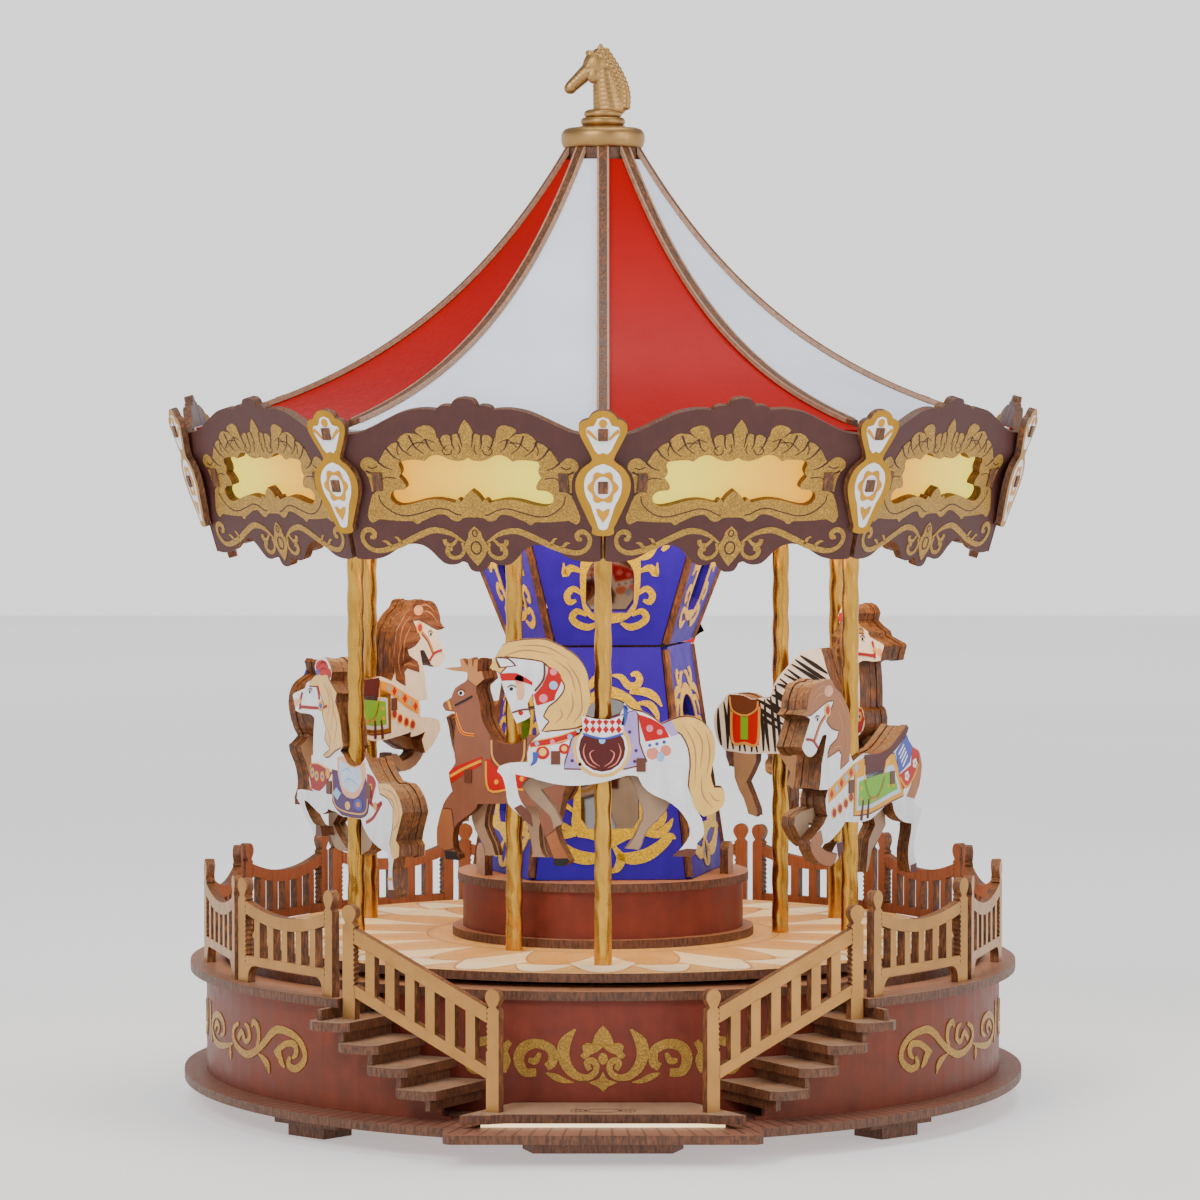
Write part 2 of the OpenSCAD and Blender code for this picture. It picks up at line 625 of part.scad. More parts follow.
module window_diffusers() {
    pane = [50, 18];
    mid = on_board([[0, 183.2]])[0][1];
    color("khaki") on_axis() fascia_place()
        translate([-pane[0] / 2, ply, mid - pane[1] / 2]) cube([pane[0], 1, pane[1]]);
}
cartouche_half = concat(smooth([[0, 202.7], [1.6, 202.5], [3.1, 201.6], [3.9, 200.4]]),
    smooth([[5.2, 200.1], [6.3, 199.2], [6.6, 197.8], [6.1, 196], [4.7, 193.2], [3.5, 191],
        [2.9, 189.4]]),
    smooth([[3.6, 188.6], [5.4, 187.3], [6.9, 185.2], [7.5, 182.7], [7, 179.7], [5.2, 175.6],
        [3.7, 172.4], [2.9, 170.9], [3, 169.6], [1.9, 168.9], [0, 168.7]]));
cartouche_t = 1.8;
module frieze_cartouches() {
    lean = atan((fascia_high_r - fascia_low_r) / (fascia_high_z - fascia_low_z));
    color("gold") on_axis() for (k = [0:sides - 1]) at_front_angle(k * 2 * half_side)
        translate([0, -fascia_low_r + 0.1, fascia_low_z]) rotate([lean, 0, 0]) rotate([90, 0, 0])
            linear_extrude(cartouche_t) polygon(both_halves([for (q = cartouche_half)
                [q[0], (q[1] - fascia_low_z) / cos(lean)]]));
}
module decagon(a, z, h) {
    plate([for (k = [0:sides - 1]) front_point(a / cos(half_side), k * 2 * half_side)], z, h);
}
module canopy_floor() {
    color("tan") on_axis() difference() {
        decagon(fascia_low_a - 0.5, canopy_z, ply);
        disc(spindle_r, 0, 300);
        pole_holes();
    }
}
canopy_top = canopy_z + ply;
module light_board() {
    color("darkgreen") on_axis() {
        ring(90, 100, canopy_top, 1.6);
        for (k = [0:sides - 1]) at_front_angle(half_side + k * 2 * half_side)
            translate([-2.5, -99.5, canopy_top + 1.6]) cube([5, 5, 1.6]);
    }
}
hub_r = 11;
function roof_z(r) = roof_base_z + roof_rise * exp(-r / roof_fall);
function roof_depth(r, t) = t * sqrt(1 + pow(roof_rise / roof_fall * exp(-r / roof_fall), 2));
module roof_ribs() {
    rib_depth = 5.4;
    rib_end = 118;
    post_in = 107;
    n = 28;
    top = [for (i = [0:n]) let (r = hub_r + (rib_end - hub_r) * i / n) [-r, roof_z(r)]];
    under = [for (i = [n:-1:0]) let (r = hub_r + (post_in - hub_r) * i / n)
        [-r, roof_z(r) - roof_depth(r, rib_depth)]];
    outline = concat(top, [[-rib_end + 1.5, canopy_top], [-post_in - 2, canopy_top]], under);
    color("sienna") on_axis() for (k = [0:sides - 1]) at_front_angle(k * 2 * half_side)
        rotate([0, 0, 90]) translate([0, ply / 2, 0]) rotate([90, 0, 0]) linear_extrude(ply) polygon(outline);
}
// Ruled panels between the ribs, bent only along their length
module roof_panel() {
    set_down = 1.2;
    sheet = 1;
    inner = 12;
    outer = 117.5;
    n = 24;
    rib_gap = (ply / 2 + 0.1) / cos(half_side);
    function a_at(i) = inner + (outer - inner) * i / n;
    function top_z(a) = roof_z(a / cos(half_side)) - set_down;
    profile = concat([for (i = [0:n]) let (a = a_at(i)) [-a, top_z(a)]],
        [for (i = [n:-1:0]) let (a = a_at(i)) [-a, top_z(a) - roof_depth(a / cos(half_side), sheet)]]);
    half_w = outer * tan(half_side);
    intersection() {
        rotate([0, 0, 90]) translate([0, half_w, 0]) rotate([90, 0, 0])
            linear_extrude(2 * half_w) polygon(profile);
        plate([[rib_gap - inner * tan(half_side), -inner + e], [inner * tan(half_side) - rib_gap, -inner + e],
            [130 * tan(half_side) - rib_gap, -130], [-130 * tan(half_side) + rib_gap, -130]], 100, 250);
    }
}
module roof_panels(first) {
    for (k = [first:2:sides - 1]) at_front_angle(half_side + k * 2 * half_side) roof_panel();
}
module roof_panels_white() { color("white") on_axis() roof_panels(1); }
module roof_panels_red() { color("red") on_axis() roof_panels(0); }
module roof_hub() {
    color("tan") on_axis() difference() {
        union() {
            disc(hub_r - 0.1, 248, finial_z - 248);
            disc(hub_r - 3, 244, 5);
        }
        disc(spindle_r, 0, spindle_top);
    }
}

// ---------- finial ----------
finial_z = 278.5;
head_outline = [[-5.4, 1.2], [-6.3, 3.6], [-10.4, 5.6], [-12, 7.6], [-11.4, 9.4], [-9, 11.6], [-7.4, 14.4],
    [-6, 17.6], [-3.4, 19.8], [-1.4, 21.2], [0, 20.4], [2.4, 20.2], [5.4, 18], [7.2, 14.6], [8, 10.6], [7.4, 6],
    [6.2, 1.6], [4.4, 0], [-3, 0]];
module finial() {
    ring_h = 6;
    head_t = 9;
    color("gold") on_axis() {
        translate([0, 0, finial_z]) rotate_extrude() polygon(concat([[0, 0], [11.4, 0]],
            smooth([[12, 1.2], [12.3, 3], [12, 4.8], [11, 5.8]]), [[9.6, ring_h], [7, ring_h], [6.6, ring_h + 0.6]],
            arc([5.2, ring_h + 1.8], 1.3, -60, 60, 6), [[4.8, ring_h + 3.2]],
            arc([4.4, ring_h + 4.1], 1.1, -50, 50, 6), [[4, ring_h + 5.4], [0, ring_h + 5.4]]));
        translate([0, 0, finial_z + ring_h + 5]) intersection() {
            translate([0, head_t / 2, 0]) rotate([90, 0, 0]) linear_extrude(head_t)
                polygon([for (q = head_outline) [q[0], q[1]]]);
            translate([0, 0, 10]) rotate([0, 90, 0]) cylinder(r = 12.4, h = 60, center = true);
        }
    }
}

// ---------- gallopers ----------
// Outlines are [x, z]: x from the pole, negative forwards; z above the ground at rest.
pole_foot = 25;
pole_len = 164;
lifts = [13.5, 1, 6, 8, 11, 14.5, 3.5, 0.5, 8];
function spot(i) = pole_spots[i];
module pole(i) {
    color("goldenrod") on_axis() translate([spot(i)[0], spot(i)[1], pole_foot + lifts[i]])
        cylinder(r = pole_r, h = pole_len);
}
// body runs through all plies; near legs lie on the outer side, far legs on the inner side
module animal(i, turn, rise, body, near, far) {
    ply_t = animal_t / 4;
    on_axis() translate([spot(i)[0], spot(i)[1], rise]) rotate([0, 0, turn]) difference() {
        union() {
            upright(body, animal_t);
            for (leg = near) translate([0, -ply_t - e, 0]) upright(leg, 2 * ply_t - 2 * e);
            for (leg = far) translate([0, ply_t + e, 0]) upright(leg, 2 * ply_t - 2 * e);
        }
        cylinder(r = pole_r, h = 300);
    }
}
arab_body = [[-31.5, 130.5], [-29, 135], [-26.5, 137.5], [-18, 138.4], [-14, 137.5], [-9, 134.8], [-6, 132],
    [-4.3, 128.5], [-4, 125.5], [-3.5, 121.5], [-5.5, 115], [-2, 116.2], [2, 116], [4.5, 117], [6, 120.8],
    [7.5, 119], [11, 118], [13.5, 116.8], [16.5, 114.5], [19.5, 116], [23.5, 116.8], [27.5, 115.5],
    [30.5, 112], [31.3, 109], [31, 105], [30, 100.5], [31, 97], [33, 97], [34, 95], [33.5, 92], [31, 90],
    [28, 89], [25.5, 91.5], [24, 97.5], [16, 98.5], [8.5, 100.5], [5, 100], [1, 98.8], [-4, 97.9], [-9, 97.6],
    [-14, 98.2], [-19, 99.5], [-21, 104], [-20.5, 109], [-17.5, 112], [-18.5, 116], [-19, 119.5],
    [-19.5, 123.5], [-21, 120.5], [-20.2, 117], [-21.5, 116], [-24, 115], [-25, 117], [-26, 120],
    [-27.5, 124], [-29, 129]];
arab_near = [
    [[24, 99], [25, 93], [27.5, 88.5], [28.2, 84], [26.2, 81.5], [26.2, 79.5], [25, 77.8], [19.5, 77.8],
        [22, 80.5], [24.2, 84], [23.5, 87.5], [21, 91], [17.5, 93.5], [14, 95], [11, 97.5], [9, 102], [20, 104]],
    [[-16, 103.5], [-21, 104.2], [-26, 104], [-29, 103], [-29.5, 101.5], [-28, 100], [-27, 96], [-26.5, 92.5],
        [-24, 90], [-22.5, 88.5], [-19.5, 86], [-20, 89.5], [-22, 92], [-23.5, 95], [-24.5, 100.8],
        [-18, 99.4]]];
arab_far = [
    [[7, 101], [20, 101], [19, 92.5], [16, 88], [12.5, 84.5], [11, 80.5], [10, 79], [6, 79.5], [8.5, 83],
        [10, 86.5], [11, 90]],
    [[-11, 102], [-19, 101], [-23, 97], [-20, 93], [-15, 88.5], [-14, 85], [-11, 86.5], [-13, 91], [-17, 96],
        [-10, 98.5]]];
plume_body = [[-32.2, 118], [-31.5, 119], [-24.5, 120.8], [-23.5, 122.3], [-19.5, 123.8], [-17, 125.3],
    [-18, 127.5], [-16.5, 129.3], [-13, 130.4], [-9.5, 129.5], [-7, 126.5], [-8, 123.8], [-4, 120.5],
    [-4.5, 118], [-3, 115], [-1.5, 111.3], [-0.8, 107.5], [0, 105.5], [-2, 104], [0, 103], [3, 100.6], [7, 100],
    [11, 100.8], [14, 103.3], [16.5, 100.5], [20, 97.8], [23, 96.3], [29, 96.5], [34.5, 93], [36.5, 89],
    [34.5, 85], [32.5, 81], [34.5, 79.5], [34.3, 76.5], [31.5, 75.6], [29.5, 76.8], [28.5, 79.5], [24, 81.5],
    [20, 83], [12, 83.8], [11, 85.3], [5, 85.3], [-1, 85.3], [-5, 86.3], [-10, 86.8], [-19, 91], [-21.5, 93.5],
    [-21.8, 95.5], [-21, 98.5], [-19.2, 99.5], [-19.2, 104], [-18.8, 109], [-18.2, 112.5], [-21, 113.5],
    [-27, 113.5], [-30.5, 114], [-31.2, 116]];
plume_near = [
    [[12, 88], [22, 88], [24, 81.5], [28, 80.3], [32, 79], [31.5, 76.5], [30.2, 72.5], [30.7, 67.5], [32, 65.5],
        [31.5, 64.2], [28.5, 64.2], [27.5, 68.5], [28, 74], [27, 77], [24, 77.5], [19, 79], [15, 81], [12, 83.5]],
    [[-9, 90], [-19, 91.1], [-27, 91.2], [-29.5, 90.8], [-30, 88.3], [-27.5, 86.5], [-24.5, 83.5], [-20.5, 80],
        [-17.5, 78.2], [-13.2, 78.5], [-14.5, 81.5], [-19, 81.8], [-23.5, 85.5], [-25, 88], [-23, 87.8],
        [-17, 85.5], [-14, 84.8], [-10, 86]]];
plume_far = [
    [[-12, 90], [-18, 86], [-18, 80], [-14, 74.8], [-8.5, 74], [-5, 75], [-9, 77.5], [-14.5, 82], [-9, 86]],
    [[3, 88], [12, 88], [10, 77.5], [6, 75], [2.5, 73.8], [2.5, 79]]];
bowed_body = [[-37, 116.5], [-34.5, 118], [-34, 120.5], [-31.5, 124], [-28, 125.3], [-24.5, 125.3], [-23, 125.9],
    [-19.5, 125.5], [-18, 123.5], [-14, 121.5], [-11.5, 119.3], [-9, 116.5], [-8, 112.5], [-7.5, 108.5],
    [-8, 104], [-6, 101.5], [0, 103.3], [5, 102.8], [11, 102.8], [17, 104], [23, 107], [28, 110], [29.2, 109],
    [28, 105.5], [34, 103.5], [37, 101], [38, 97.5], [36.5, 92], [33.5, 87.5], [27, 86], [18, 88], [11, 86],
    [5, 84], [-2, 83.8], [-8, 84.3], [-15, 85], [-21, 86.5], [-22.5, 88.5], [-23, 92], [-21.5, 94.5], [-27, 94.8],
    [-26, 98], [-25.5, 102], [-24, 105.5], [-22.5, 110], [-25, 110], [-29, 105.5], [-32.5, 104.5],
    [-35.5, 105.5], [-37.5, 107.5], [-35.5, 110.5], [-32.5, 115], [-34, 115.8]];
bowed_near = [
    [[18, 91], [33, 90], [33.5, 87], [36.5, 85.3], [38, 84.8], [37.5, 82.5], [35, 79], [33.5, 75], [33.5, 71.5],
        [35, 69], [34.5, 66.5], [31, 66.4], [29.5, 70], [29.5, 74], [31, 78], [31.5, 80.8], [27, 81.5], [23, 83],
        [20, 85.5]],
    [[-8, 88], [-20, 88], [-24, 85], [-29, 82.5], [-32.5, 81], [-32, 78], [-27, 74], [-20, 72.5], [-15, 74.5],
        [-12, 76.5], [-12.3, 79], [-16, 79], [-19, 76.5], [-24, 77.5], [-26, 79], [-21, 79.5], [-17, 81],
        [-12, 83.5]]];
bowed_far = [
    [[-18, 90], [-30, 89], [-34, 87.5], [-34.5, 85], [-30, 80.5], [-25.5, 78.3], [-23.5, 82.5], [-25.5, 85],
        [-21, 84], [-17, 83.8]],
    [[12, 88], [22.5, 88], [23.5, 80.8], [19, 77], [14.5, 74], [13, 70], [11.5, 67.8], [10, 68], [11, 72.5],
        [12, 77.5], [16, 81.5], [14, 84.5]]];
deer_body = [[-21.4, 116.8], [-21, 117.9], [-18.5, 119.3], [-17.2, 122.1], [-13.7, 124.1], [-13, 125.2],
    [-13.2, 126.8], [-17.8, 127.1], [-20.7, 127.6], [-18.5, 128], [-15, 128], [-15.6, 130.4], [-14.6, 130.7],
    [-13, 128.4], [-12.7, 130.6], [-11.6, 130.6], [-11.2, 128], [-10.8, 130.4], [-9.6, 130.4], [-9.8, 127],
    [-8.4, 127.2], [-7.6, 124.9], [-10.1, 122.9], [-10.1, 121], [-8.9, 117.7], [-8.5, 113.8], [-6.3, 109.9],
    [-4, 107.5], [0, 106.5], [4, 107], [7, 109.5], [9, 108], [13, 106.5], [17, 104], [19.5, 105.5], [21.5, 104.5],
    [20.5, 101], [19.5, 96], [17, 91], [10, 89], [0, 89.5], [-8, 89], [-14, 89.5], [-18.2, 92.5], [-19.4, 97.7],
    [-17.2, 100.4], [-17.5, 102.7], [-17.5, 108.2], [-16.9, 112.7], [-17.5, 115.2], [-20.4, 115.4]];
deer_near = [
    [[10, 94], [18.5, 94], [17.5, 88], [16, 83], [18, 78], [20.5, 74], [19, 72.5], [15.5, 72.5], [15, 75],
        [12.5, 80.5], [10.5, 86]],
    [[-9, 94], [-16, 94], [-20.4, 89.9], [-21.7, 87.1], [-23.3, 81.6], [-23.3, 76.6], [-21, 75.2], [-20.4, 72.7],
        [-16.2, 72.5], [-16.2, 74.3], [-17.8, 76], [-17.8, 81.6], [-14, 84.9], [-10, 88]]];
deer_far = [
    [[2, 94], [11, 94], [10, 88], [8.5, 82.5], [9, 77], [10.5, 74], [5.5, 73.8], [5.5, 77], [4, 83], [3, 88]],
    [[-6, 94], [-14, 94], [-15, 87], [-13.5, 81], [-10.5, 76.5], [-10, 73.5], [-6, 73.8], [-7, 77.5],
        [-9.5, 82.5], [-8.5, 88]]];
zebra_body = [[-14.4, 131.7], [-15.6, 131.6], [-16.4, 129.3], [-17.4, 126], [-19, 122], [-21.5, 117.5],
    [-22.8, 114], [-21.6, 112.2], [-18.6, 112.4], [-15, 115], [-11, 117.5], [-7.5, 116], [-4, 110], [-2.5, 106],
    [-2.8, 100.4], [3.2, 100.2], [9, 99.9], [13.3, 100.4], [17, 101], [19.5, 104.9], [20.3, 109.5],
    [19.4, 112.8], [17.5, 115], [15.2, 117.5], [10.2, 117.4], [7.6, 116.3], [5, 116.6], [1.5, 116.8],
    [0.6, 119.3], [-1.2, 122.7], [-4.5, 126.3], [-7, 129], [-9.6, 130.7], [-12.8, 131.6]];
zebra_near = [
    [[13, 104], [19.5, 104.9], [18.9, 100.4], [18.7, 98.2], [17.4, 95.2], [15, 98]],
    [[2.5, 104], [-2.4, 104], [-3, 94.9], [-2.6, 86], [0, 86], [0.6, 89.9], [0.6, 96]]];
zebra_far = [
    [[6, 104], [13.5, 104], [13.3, 92.7], [10.2, 86.6], [8.6, 82.1], [5.7, 81.3], [5.7, 83.8], [9.2, 91.6],
        [6, 97.7]],
    [[1, 104], [-5, 104], [-8, 99], [-9, 94], [-6.5, 90], [-4.2, 91.5], [-5.5, 95], [-2, 99.5]]];
module horse_front() { color("ivory") animal(0, outer_phi[0], 0, arab_body, arab_near, arab_far); }
module horse_left_front() { color("white") animal(1, outer_phi[1], 0, plume_body, plume_near, plume_far); }
module horse_left_back() { color("ivory") animal(2, outer_phi[2], 17.4, bowed_body, bowed_near, bowed_far); }
module horse_back() { color("ivory") animal(3, outer_phi[3], 2, arab_body, arab_near, arab_far); }
module horse_right_back() { color("white") animal(4, outer_phi[4], 13, plume_body, plume_near, plume_far); }
module horse_right_front() { color("white") animal(5, outer_phi[5], 0, bowed_body, bowed_near, bowed_far); }
module deer_front() { color("rosybrown") animal(6, inner_phi[0], 0, deer_body, deer_near, deer_far); }
module zebra_right() { color("gray") animal(7, 150, 0, zebra_body, zebra_near, zebra_far); }
module deer_back() { color("rosybrown") animal(8, inner_phi[2], 4, deer_body, deer_near, deer_far); }

base_plate();
base_feet();
drum_wall();
front_riser();
drum_formers();
walkway_ring();
stage_plate();
front_landing();
stair_treads();
stair_risers();
stair_railings();
left_fence_boards();
right_fence_boards();
cam_ring();
gear_motor();
spindle_bearing();
battery_box();
battery_cover();
control_board();
speaker();
start_button();
drive_pinion();
turntable_disc();
ring_gear();
centre_spindle();
plinth_lower_disc();
plinth_wall();
plinth_upper_disc();
tower_lower_panels();
tower_upper_panels();
tower_mirrors();
tower_frame();
canopy_floor();
light_board();
roof_ribs();
roof_panels_white();
roof_panels_red();
frieze_panels();
frieze_cartouches();
window_diffusers();
roof_hub();
finial();
pole(0);  // pole_1
pole(1);  // pole_2
pole(2);  // pole_3
pole(3);  // pole_4
pole(4);  // pole_5
pole(5);  // pole_6
pole(6);  // pole_7
pole(7);  // pole_8
pole(8);  // pole_9
horse_front();
horse_left_front();
horse_left_back();
horse_back();
horse_right_back();
horse_right_front();
deer_front();
zebra_right();
deer_back();
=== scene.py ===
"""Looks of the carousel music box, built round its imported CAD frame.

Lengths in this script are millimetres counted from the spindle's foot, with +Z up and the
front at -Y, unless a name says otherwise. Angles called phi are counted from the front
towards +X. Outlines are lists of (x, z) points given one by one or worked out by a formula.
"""
import bpy
import bmesh
import json
import math
from mathutils import Matrix, Vector
from mathutils.geometry import tessellate_polygon


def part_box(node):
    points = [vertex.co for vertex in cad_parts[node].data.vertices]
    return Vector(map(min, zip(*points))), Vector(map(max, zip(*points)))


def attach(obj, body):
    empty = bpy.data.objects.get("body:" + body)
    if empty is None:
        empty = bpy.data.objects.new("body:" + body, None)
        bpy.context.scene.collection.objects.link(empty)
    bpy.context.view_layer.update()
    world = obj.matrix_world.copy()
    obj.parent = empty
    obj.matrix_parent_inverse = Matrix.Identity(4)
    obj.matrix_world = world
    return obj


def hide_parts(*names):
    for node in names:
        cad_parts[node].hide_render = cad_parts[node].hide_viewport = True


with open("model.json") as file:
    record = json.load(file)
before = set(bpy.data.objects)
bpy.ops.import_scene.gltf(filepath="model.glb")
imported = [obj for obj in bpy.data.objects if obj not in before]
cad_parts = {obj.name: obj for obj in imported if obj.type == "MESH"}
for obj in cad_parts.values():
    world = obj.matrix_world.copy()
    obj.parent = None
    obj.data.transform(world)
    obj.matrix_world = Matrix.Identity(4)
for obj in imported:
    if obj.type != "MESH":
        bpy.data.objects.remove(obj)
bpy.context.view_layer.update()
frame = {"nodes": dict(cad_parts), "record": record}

MM = 0.001
RECORD = frame["record"]
JOINTS = {joint["name"]: joint for joint in RECORD["behaviour"]["joints"]}
AXIS_Y = JOINTS["turntable_spin"]["pos_m"][1] / MM


# ------------------------------------------------------------------ curves

def polar(radius, angle):
    return radius * math.cos(math.radians(angle)), radius * math.sin(math.radians(angle))


def front_point(radius, phi):
    return radius * math.sin(math.radians(phi)), -radius * math.cos(math.radians(phi))


def arc(centre, radius, start, end, steps):
    points = []
    for i in range(steps + 1):
        x, y = polar(radius, start + (end - start) * i / steps)
        points.append((centre[0] + x, centre[1] + y))
    return points


def curve_at(p, q, r, s, t):
    """One coordinate of a Catmull-Rom curve between q and r."""
    return (2 * q + (r - p) * t + (2 * p - 5 * q + 4 * r - s) * t * t
            + (3 * q - p - 3 * r + s) * t ** 3) / 2


def smooth(points, steps=3):
    """Open curve through the points."""
    last = len(points) - 1
    out = []
    for i in range(last):
        near = [points[max(i - 1, 0)], points[i], points[i + 1], points[min(i + 2, last)]]
        for k in range(steps):
            out.append(tuple(curve_at(*[p[c] for p in near], k / steps) for c in range(len(points[0]))))
    return out + [tuple(points[last])]


def closed(points, steps=3, sharp=50):
    """Closed curve through the points; corners sharper than the limit stay sharp."""
    n = len(points)

    def turn(i):
        a = Vector(points[i]) - Vector(points[i - 1])
        b = Vector(points[(i + 1) % n]) - Vector(points[i])
        if a.length < 1e-6 or b.length < 1e-6:
            return 180
        return math.degrees(a.angle(b))

    corner = [turn(i) > sharp for i in range(n)]
    out = []
    for i in range(n):
        j = (i + 1) % n
        before = points[i] if corner[i] else points[i - 1]
        after = points[j] if corner[j] else points[(j + 1) % n]
        for k in range(steps):
            out.append(tuple(curve_at(before[c], points[i][c], points[j][c], after[c], k / steps)
                             for c in range(2)))
    return out


def both_halves(half):
    """Closes a right-hand half outline that starts and ends on x = 0."""
    return list(half) + [(-x, z) for x, z in half[-2:0:-1]]


def ellipse(cx, cz, rx, rz, steps=20):
    angles = [2 * math.pi * i / steps for i in range(steps)]
    return [(cx + rx * math.cos(a), cz + rz * math.sin(a)) for a in angles]


def rect(x0, z0, x1, z1):
    return [(x0, z0), (x1, z0), (x1, z1), (x0, z1)]


def about(x, z, half_w, half_h):
    return rect(x - half_w, z - half_h, x + half_w, z + half_h)


def area(outline):
    return sum(a[0] * b[1] - b[0] * a[1] for a, b in zip(outline, outline[1:] + outline[:1])) / 2


def inset(outline, distance):
    """Outline moved inwards by a small distance along its corner directions."""
    side = 1 if area(outline) > 0 else -1
    out = []
    n = len(outline)
    for i in range(n):
        a, b, c = Vector(outline[i - 1]), Vector(outline[i]), Vector(outline[(i + 1) % n])
        along = (c - a).normalized() if (c - a).length > 1e-6 else Vector((1, 0))
        normal = Vector((-along.y, along.x)) * side
        out.append(tuple(b + normal * distance))
    return out


def stroke(path, widths, steps=4):
    """Outline of a painted stroke: a smooth path with a width at each of its points."""
    line = smooth([(p[0], p[1], w) for p, w in zip(path, widths)], steps)
    left, right = [], []
    for i, (x, z, width) in enumerate(line):
        before = line[max(i - 1, 0)]
        after = line[min(i + 1, len(line) - 1)]
        along = Vector((after[0] - before[0], after[1] - before[1]))
        along = along.normalized() if along.length > 1e-6 else Vector((1, 0))
        half = max(width, 0.04) / 2
        left.append((x - along.y * half, z + along.x * half))
        right.append((x + along.y * half, z - along.x * half))
    return left, right


def even(path, width):
    return stroke(path, [width] * len(path))


# ------------------------------------------------------------------ placing

def turned(phi):
    """Matrix that turns something at the front round the spindle to phi."""
    return Matrix.Rotation(math.radians(phi), 4, "Z")


def moved(x, y, z):
    return Matrix.Translation((x, y, z))


# Board drawings are (x, z) with the thickness h towards the viewer: (x, z, h) becomes (x, -h, z)
UPRIGHT = Matrix(((1, 0, 0, 0), (0, 0, -1, 0), (0, 1, 0, 0), (0, 0, 0, 1)))


def by_matrix(matrix):
    return lambda x, z, h: matrix @ Vector((x, z, h))


class Piece:
    """Collects solids in millimetres round the spindle and becomes one object."""

    def __init__(self, name, body, slot, materials):
        self.name, self.body, self.slot = name, body, slot
        self.materials = list(materials)
        self.verts, self.faces, self.mats = [], [], []

    def add(self, points, faces, mats):
        start = len(self.verts)
        self.verts += [Vector(p) for p in points]
        self.faces += [[start + i for i in face] for face in faces]
        self.mats += mats if isinstance(mats, list) else [mats] * len(faces)

    def prism(self, outline, low, high, place, face=0, edge=None, holes=(), back=None):
        """Solid between two heights over an outline with holes."""
        edge = face if edge is None else edge
        back = face if back is None else back
        loops = [outline if area(outline) > 0 else outline[::-1]]
        loops += [hole if area(hole) < 0 else hole[::-1] for hole in holes]
        flat = [p for loop in loops for p in loop]
        n = len(flat)
        triangles = tessellate_polygon([[Vector((x, z, 0)) for x, z in loop] for loop in loops])
        points = [place(x, z, high) for x, z in flat] + [place(x, z, low) for x, z in flat]
        faces, mats = [], []
        for a, b, c in triangles:
            pa, pb, pc = flat[a], flat[b], flat[c]
            if (pb[0] - pa[0]) * (pc[1] - pa[1]) - (pc[0] - pa[0]) * (pb[1] - pa[1]) < 0:
                b, c = c, b
            faces += [[a, b, c], [n + a, n + c, n + b]]
            mats += [face, back]
        start = 0
        for loop in loops:
            m = len(loop)
            for i in range(m):
                j = (i + 1) % m
                faces.append([start + i, n + start + i, n + start + j, start + j])
                mats.append(edge)
            start += m
        self.add(points, faces, mats)

    def ribbon(self, strip, low, high, place, mat=0):
        """Thin raised stroke, made of quads so that it can follow a bent surface."""
        left, right = strip
        n = len(left)
        points = []
        for (lx, lz), (rx, rz) in zip(left, right):
            points += [place(lx, lz, high), place(rx, rz, high), place(lx, lz, low), place(rx, rz, low)]
        faces = []
        for i in range(n - 1):
            a, b = 4 * i, 4 * i + 4
            faces += [[a + 1, b + 1, b, a], [a + 2, b + 2, b + 3, a + 3],
                      [a, b, b + 2, a + 2], [a + 3, b + 3, b + 1, a + 1]]
        faces += [[0, 2, 3, 1], [4 * n - 4, 4 * n - 3, 4 * n - 1, 4 * n - 2]]
        self.add(points, faces, mat)

    def box(self, low, high):
        corners = [(x, y, z) for x in (low[0], high[0]) for y in (low[1], high[1])
                   for z in (low[2], high[2])]
        faces = [[0, 1, 3, 2], [4, 6, 7, 5], [0, 4, 5, 1], [2, 3, 7, 6], [0, 2, 6, 4], [1, 5, 7, 3]]
        self.add(corners, faces, 0)

    def rings(self, rows):
        """Skin over rows of points, each row a closed ring, with a lid at both ends."""
        n = len(rows[0])
        points = [p for row in rows for p in row]
        faces = []
        for r in range(len(rows) - 1):
            for i in range(n):
                j = (i + 1) % n
                faces.append([r * n + i, r * n + j, (r + 1) * n + j, (r + 1) * n + i])
        faces += [list(range(n))[::-1], [(len(rows) - 1) * n + i for i in range(n)]]
        self.add(points, faces, 0)

    def finish(self, shade=None, bevel=0.0, replaces=()):
        mesh = bpy.data.meshes.new(self.name)
        points = [(p[0] * MM, (p[1] + AXIS_Y) * MM, p[2] * MM) for p in self.verts]
        mesh.from_pydata(points, [], self.faces)
        for material in self.materials:
            mesh.materials.append(material)
        for polygon, mat in zip(mesh.polygons, self.mats):
            polygon.material_index = mat
        work = bmesh.new()
        work.from_mesh(mesh)
        bmesh.ops.recalc_face_normals(work, faces=work.faces)
        work.to_mesh(mesh)
        work.free()
        piece = bpy.data.objects.new(self.name, mesh)
        bpy.context.collection.objects.link(piece)
        if bevel:
            chamfer = piece.modifiers.new("edge", "BEVEL")
            chamfer.width = bevel * MM
            chamfer.segments = 1
            chamfer.limit_method = "ANGLE"
            chamfer.angle_limit = math.radians(50)
            chamfer.material = -1
        if shade is not None:
            mesh.shade_smooth()
            if shade < 180:
                mesh.set_sharp_from_angle(angle=math.radians(shade))
        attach(piece, self.body)
        if replaces:
            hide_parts(*replaces)
        return piece


# ------------------------------------------------------------------ materials

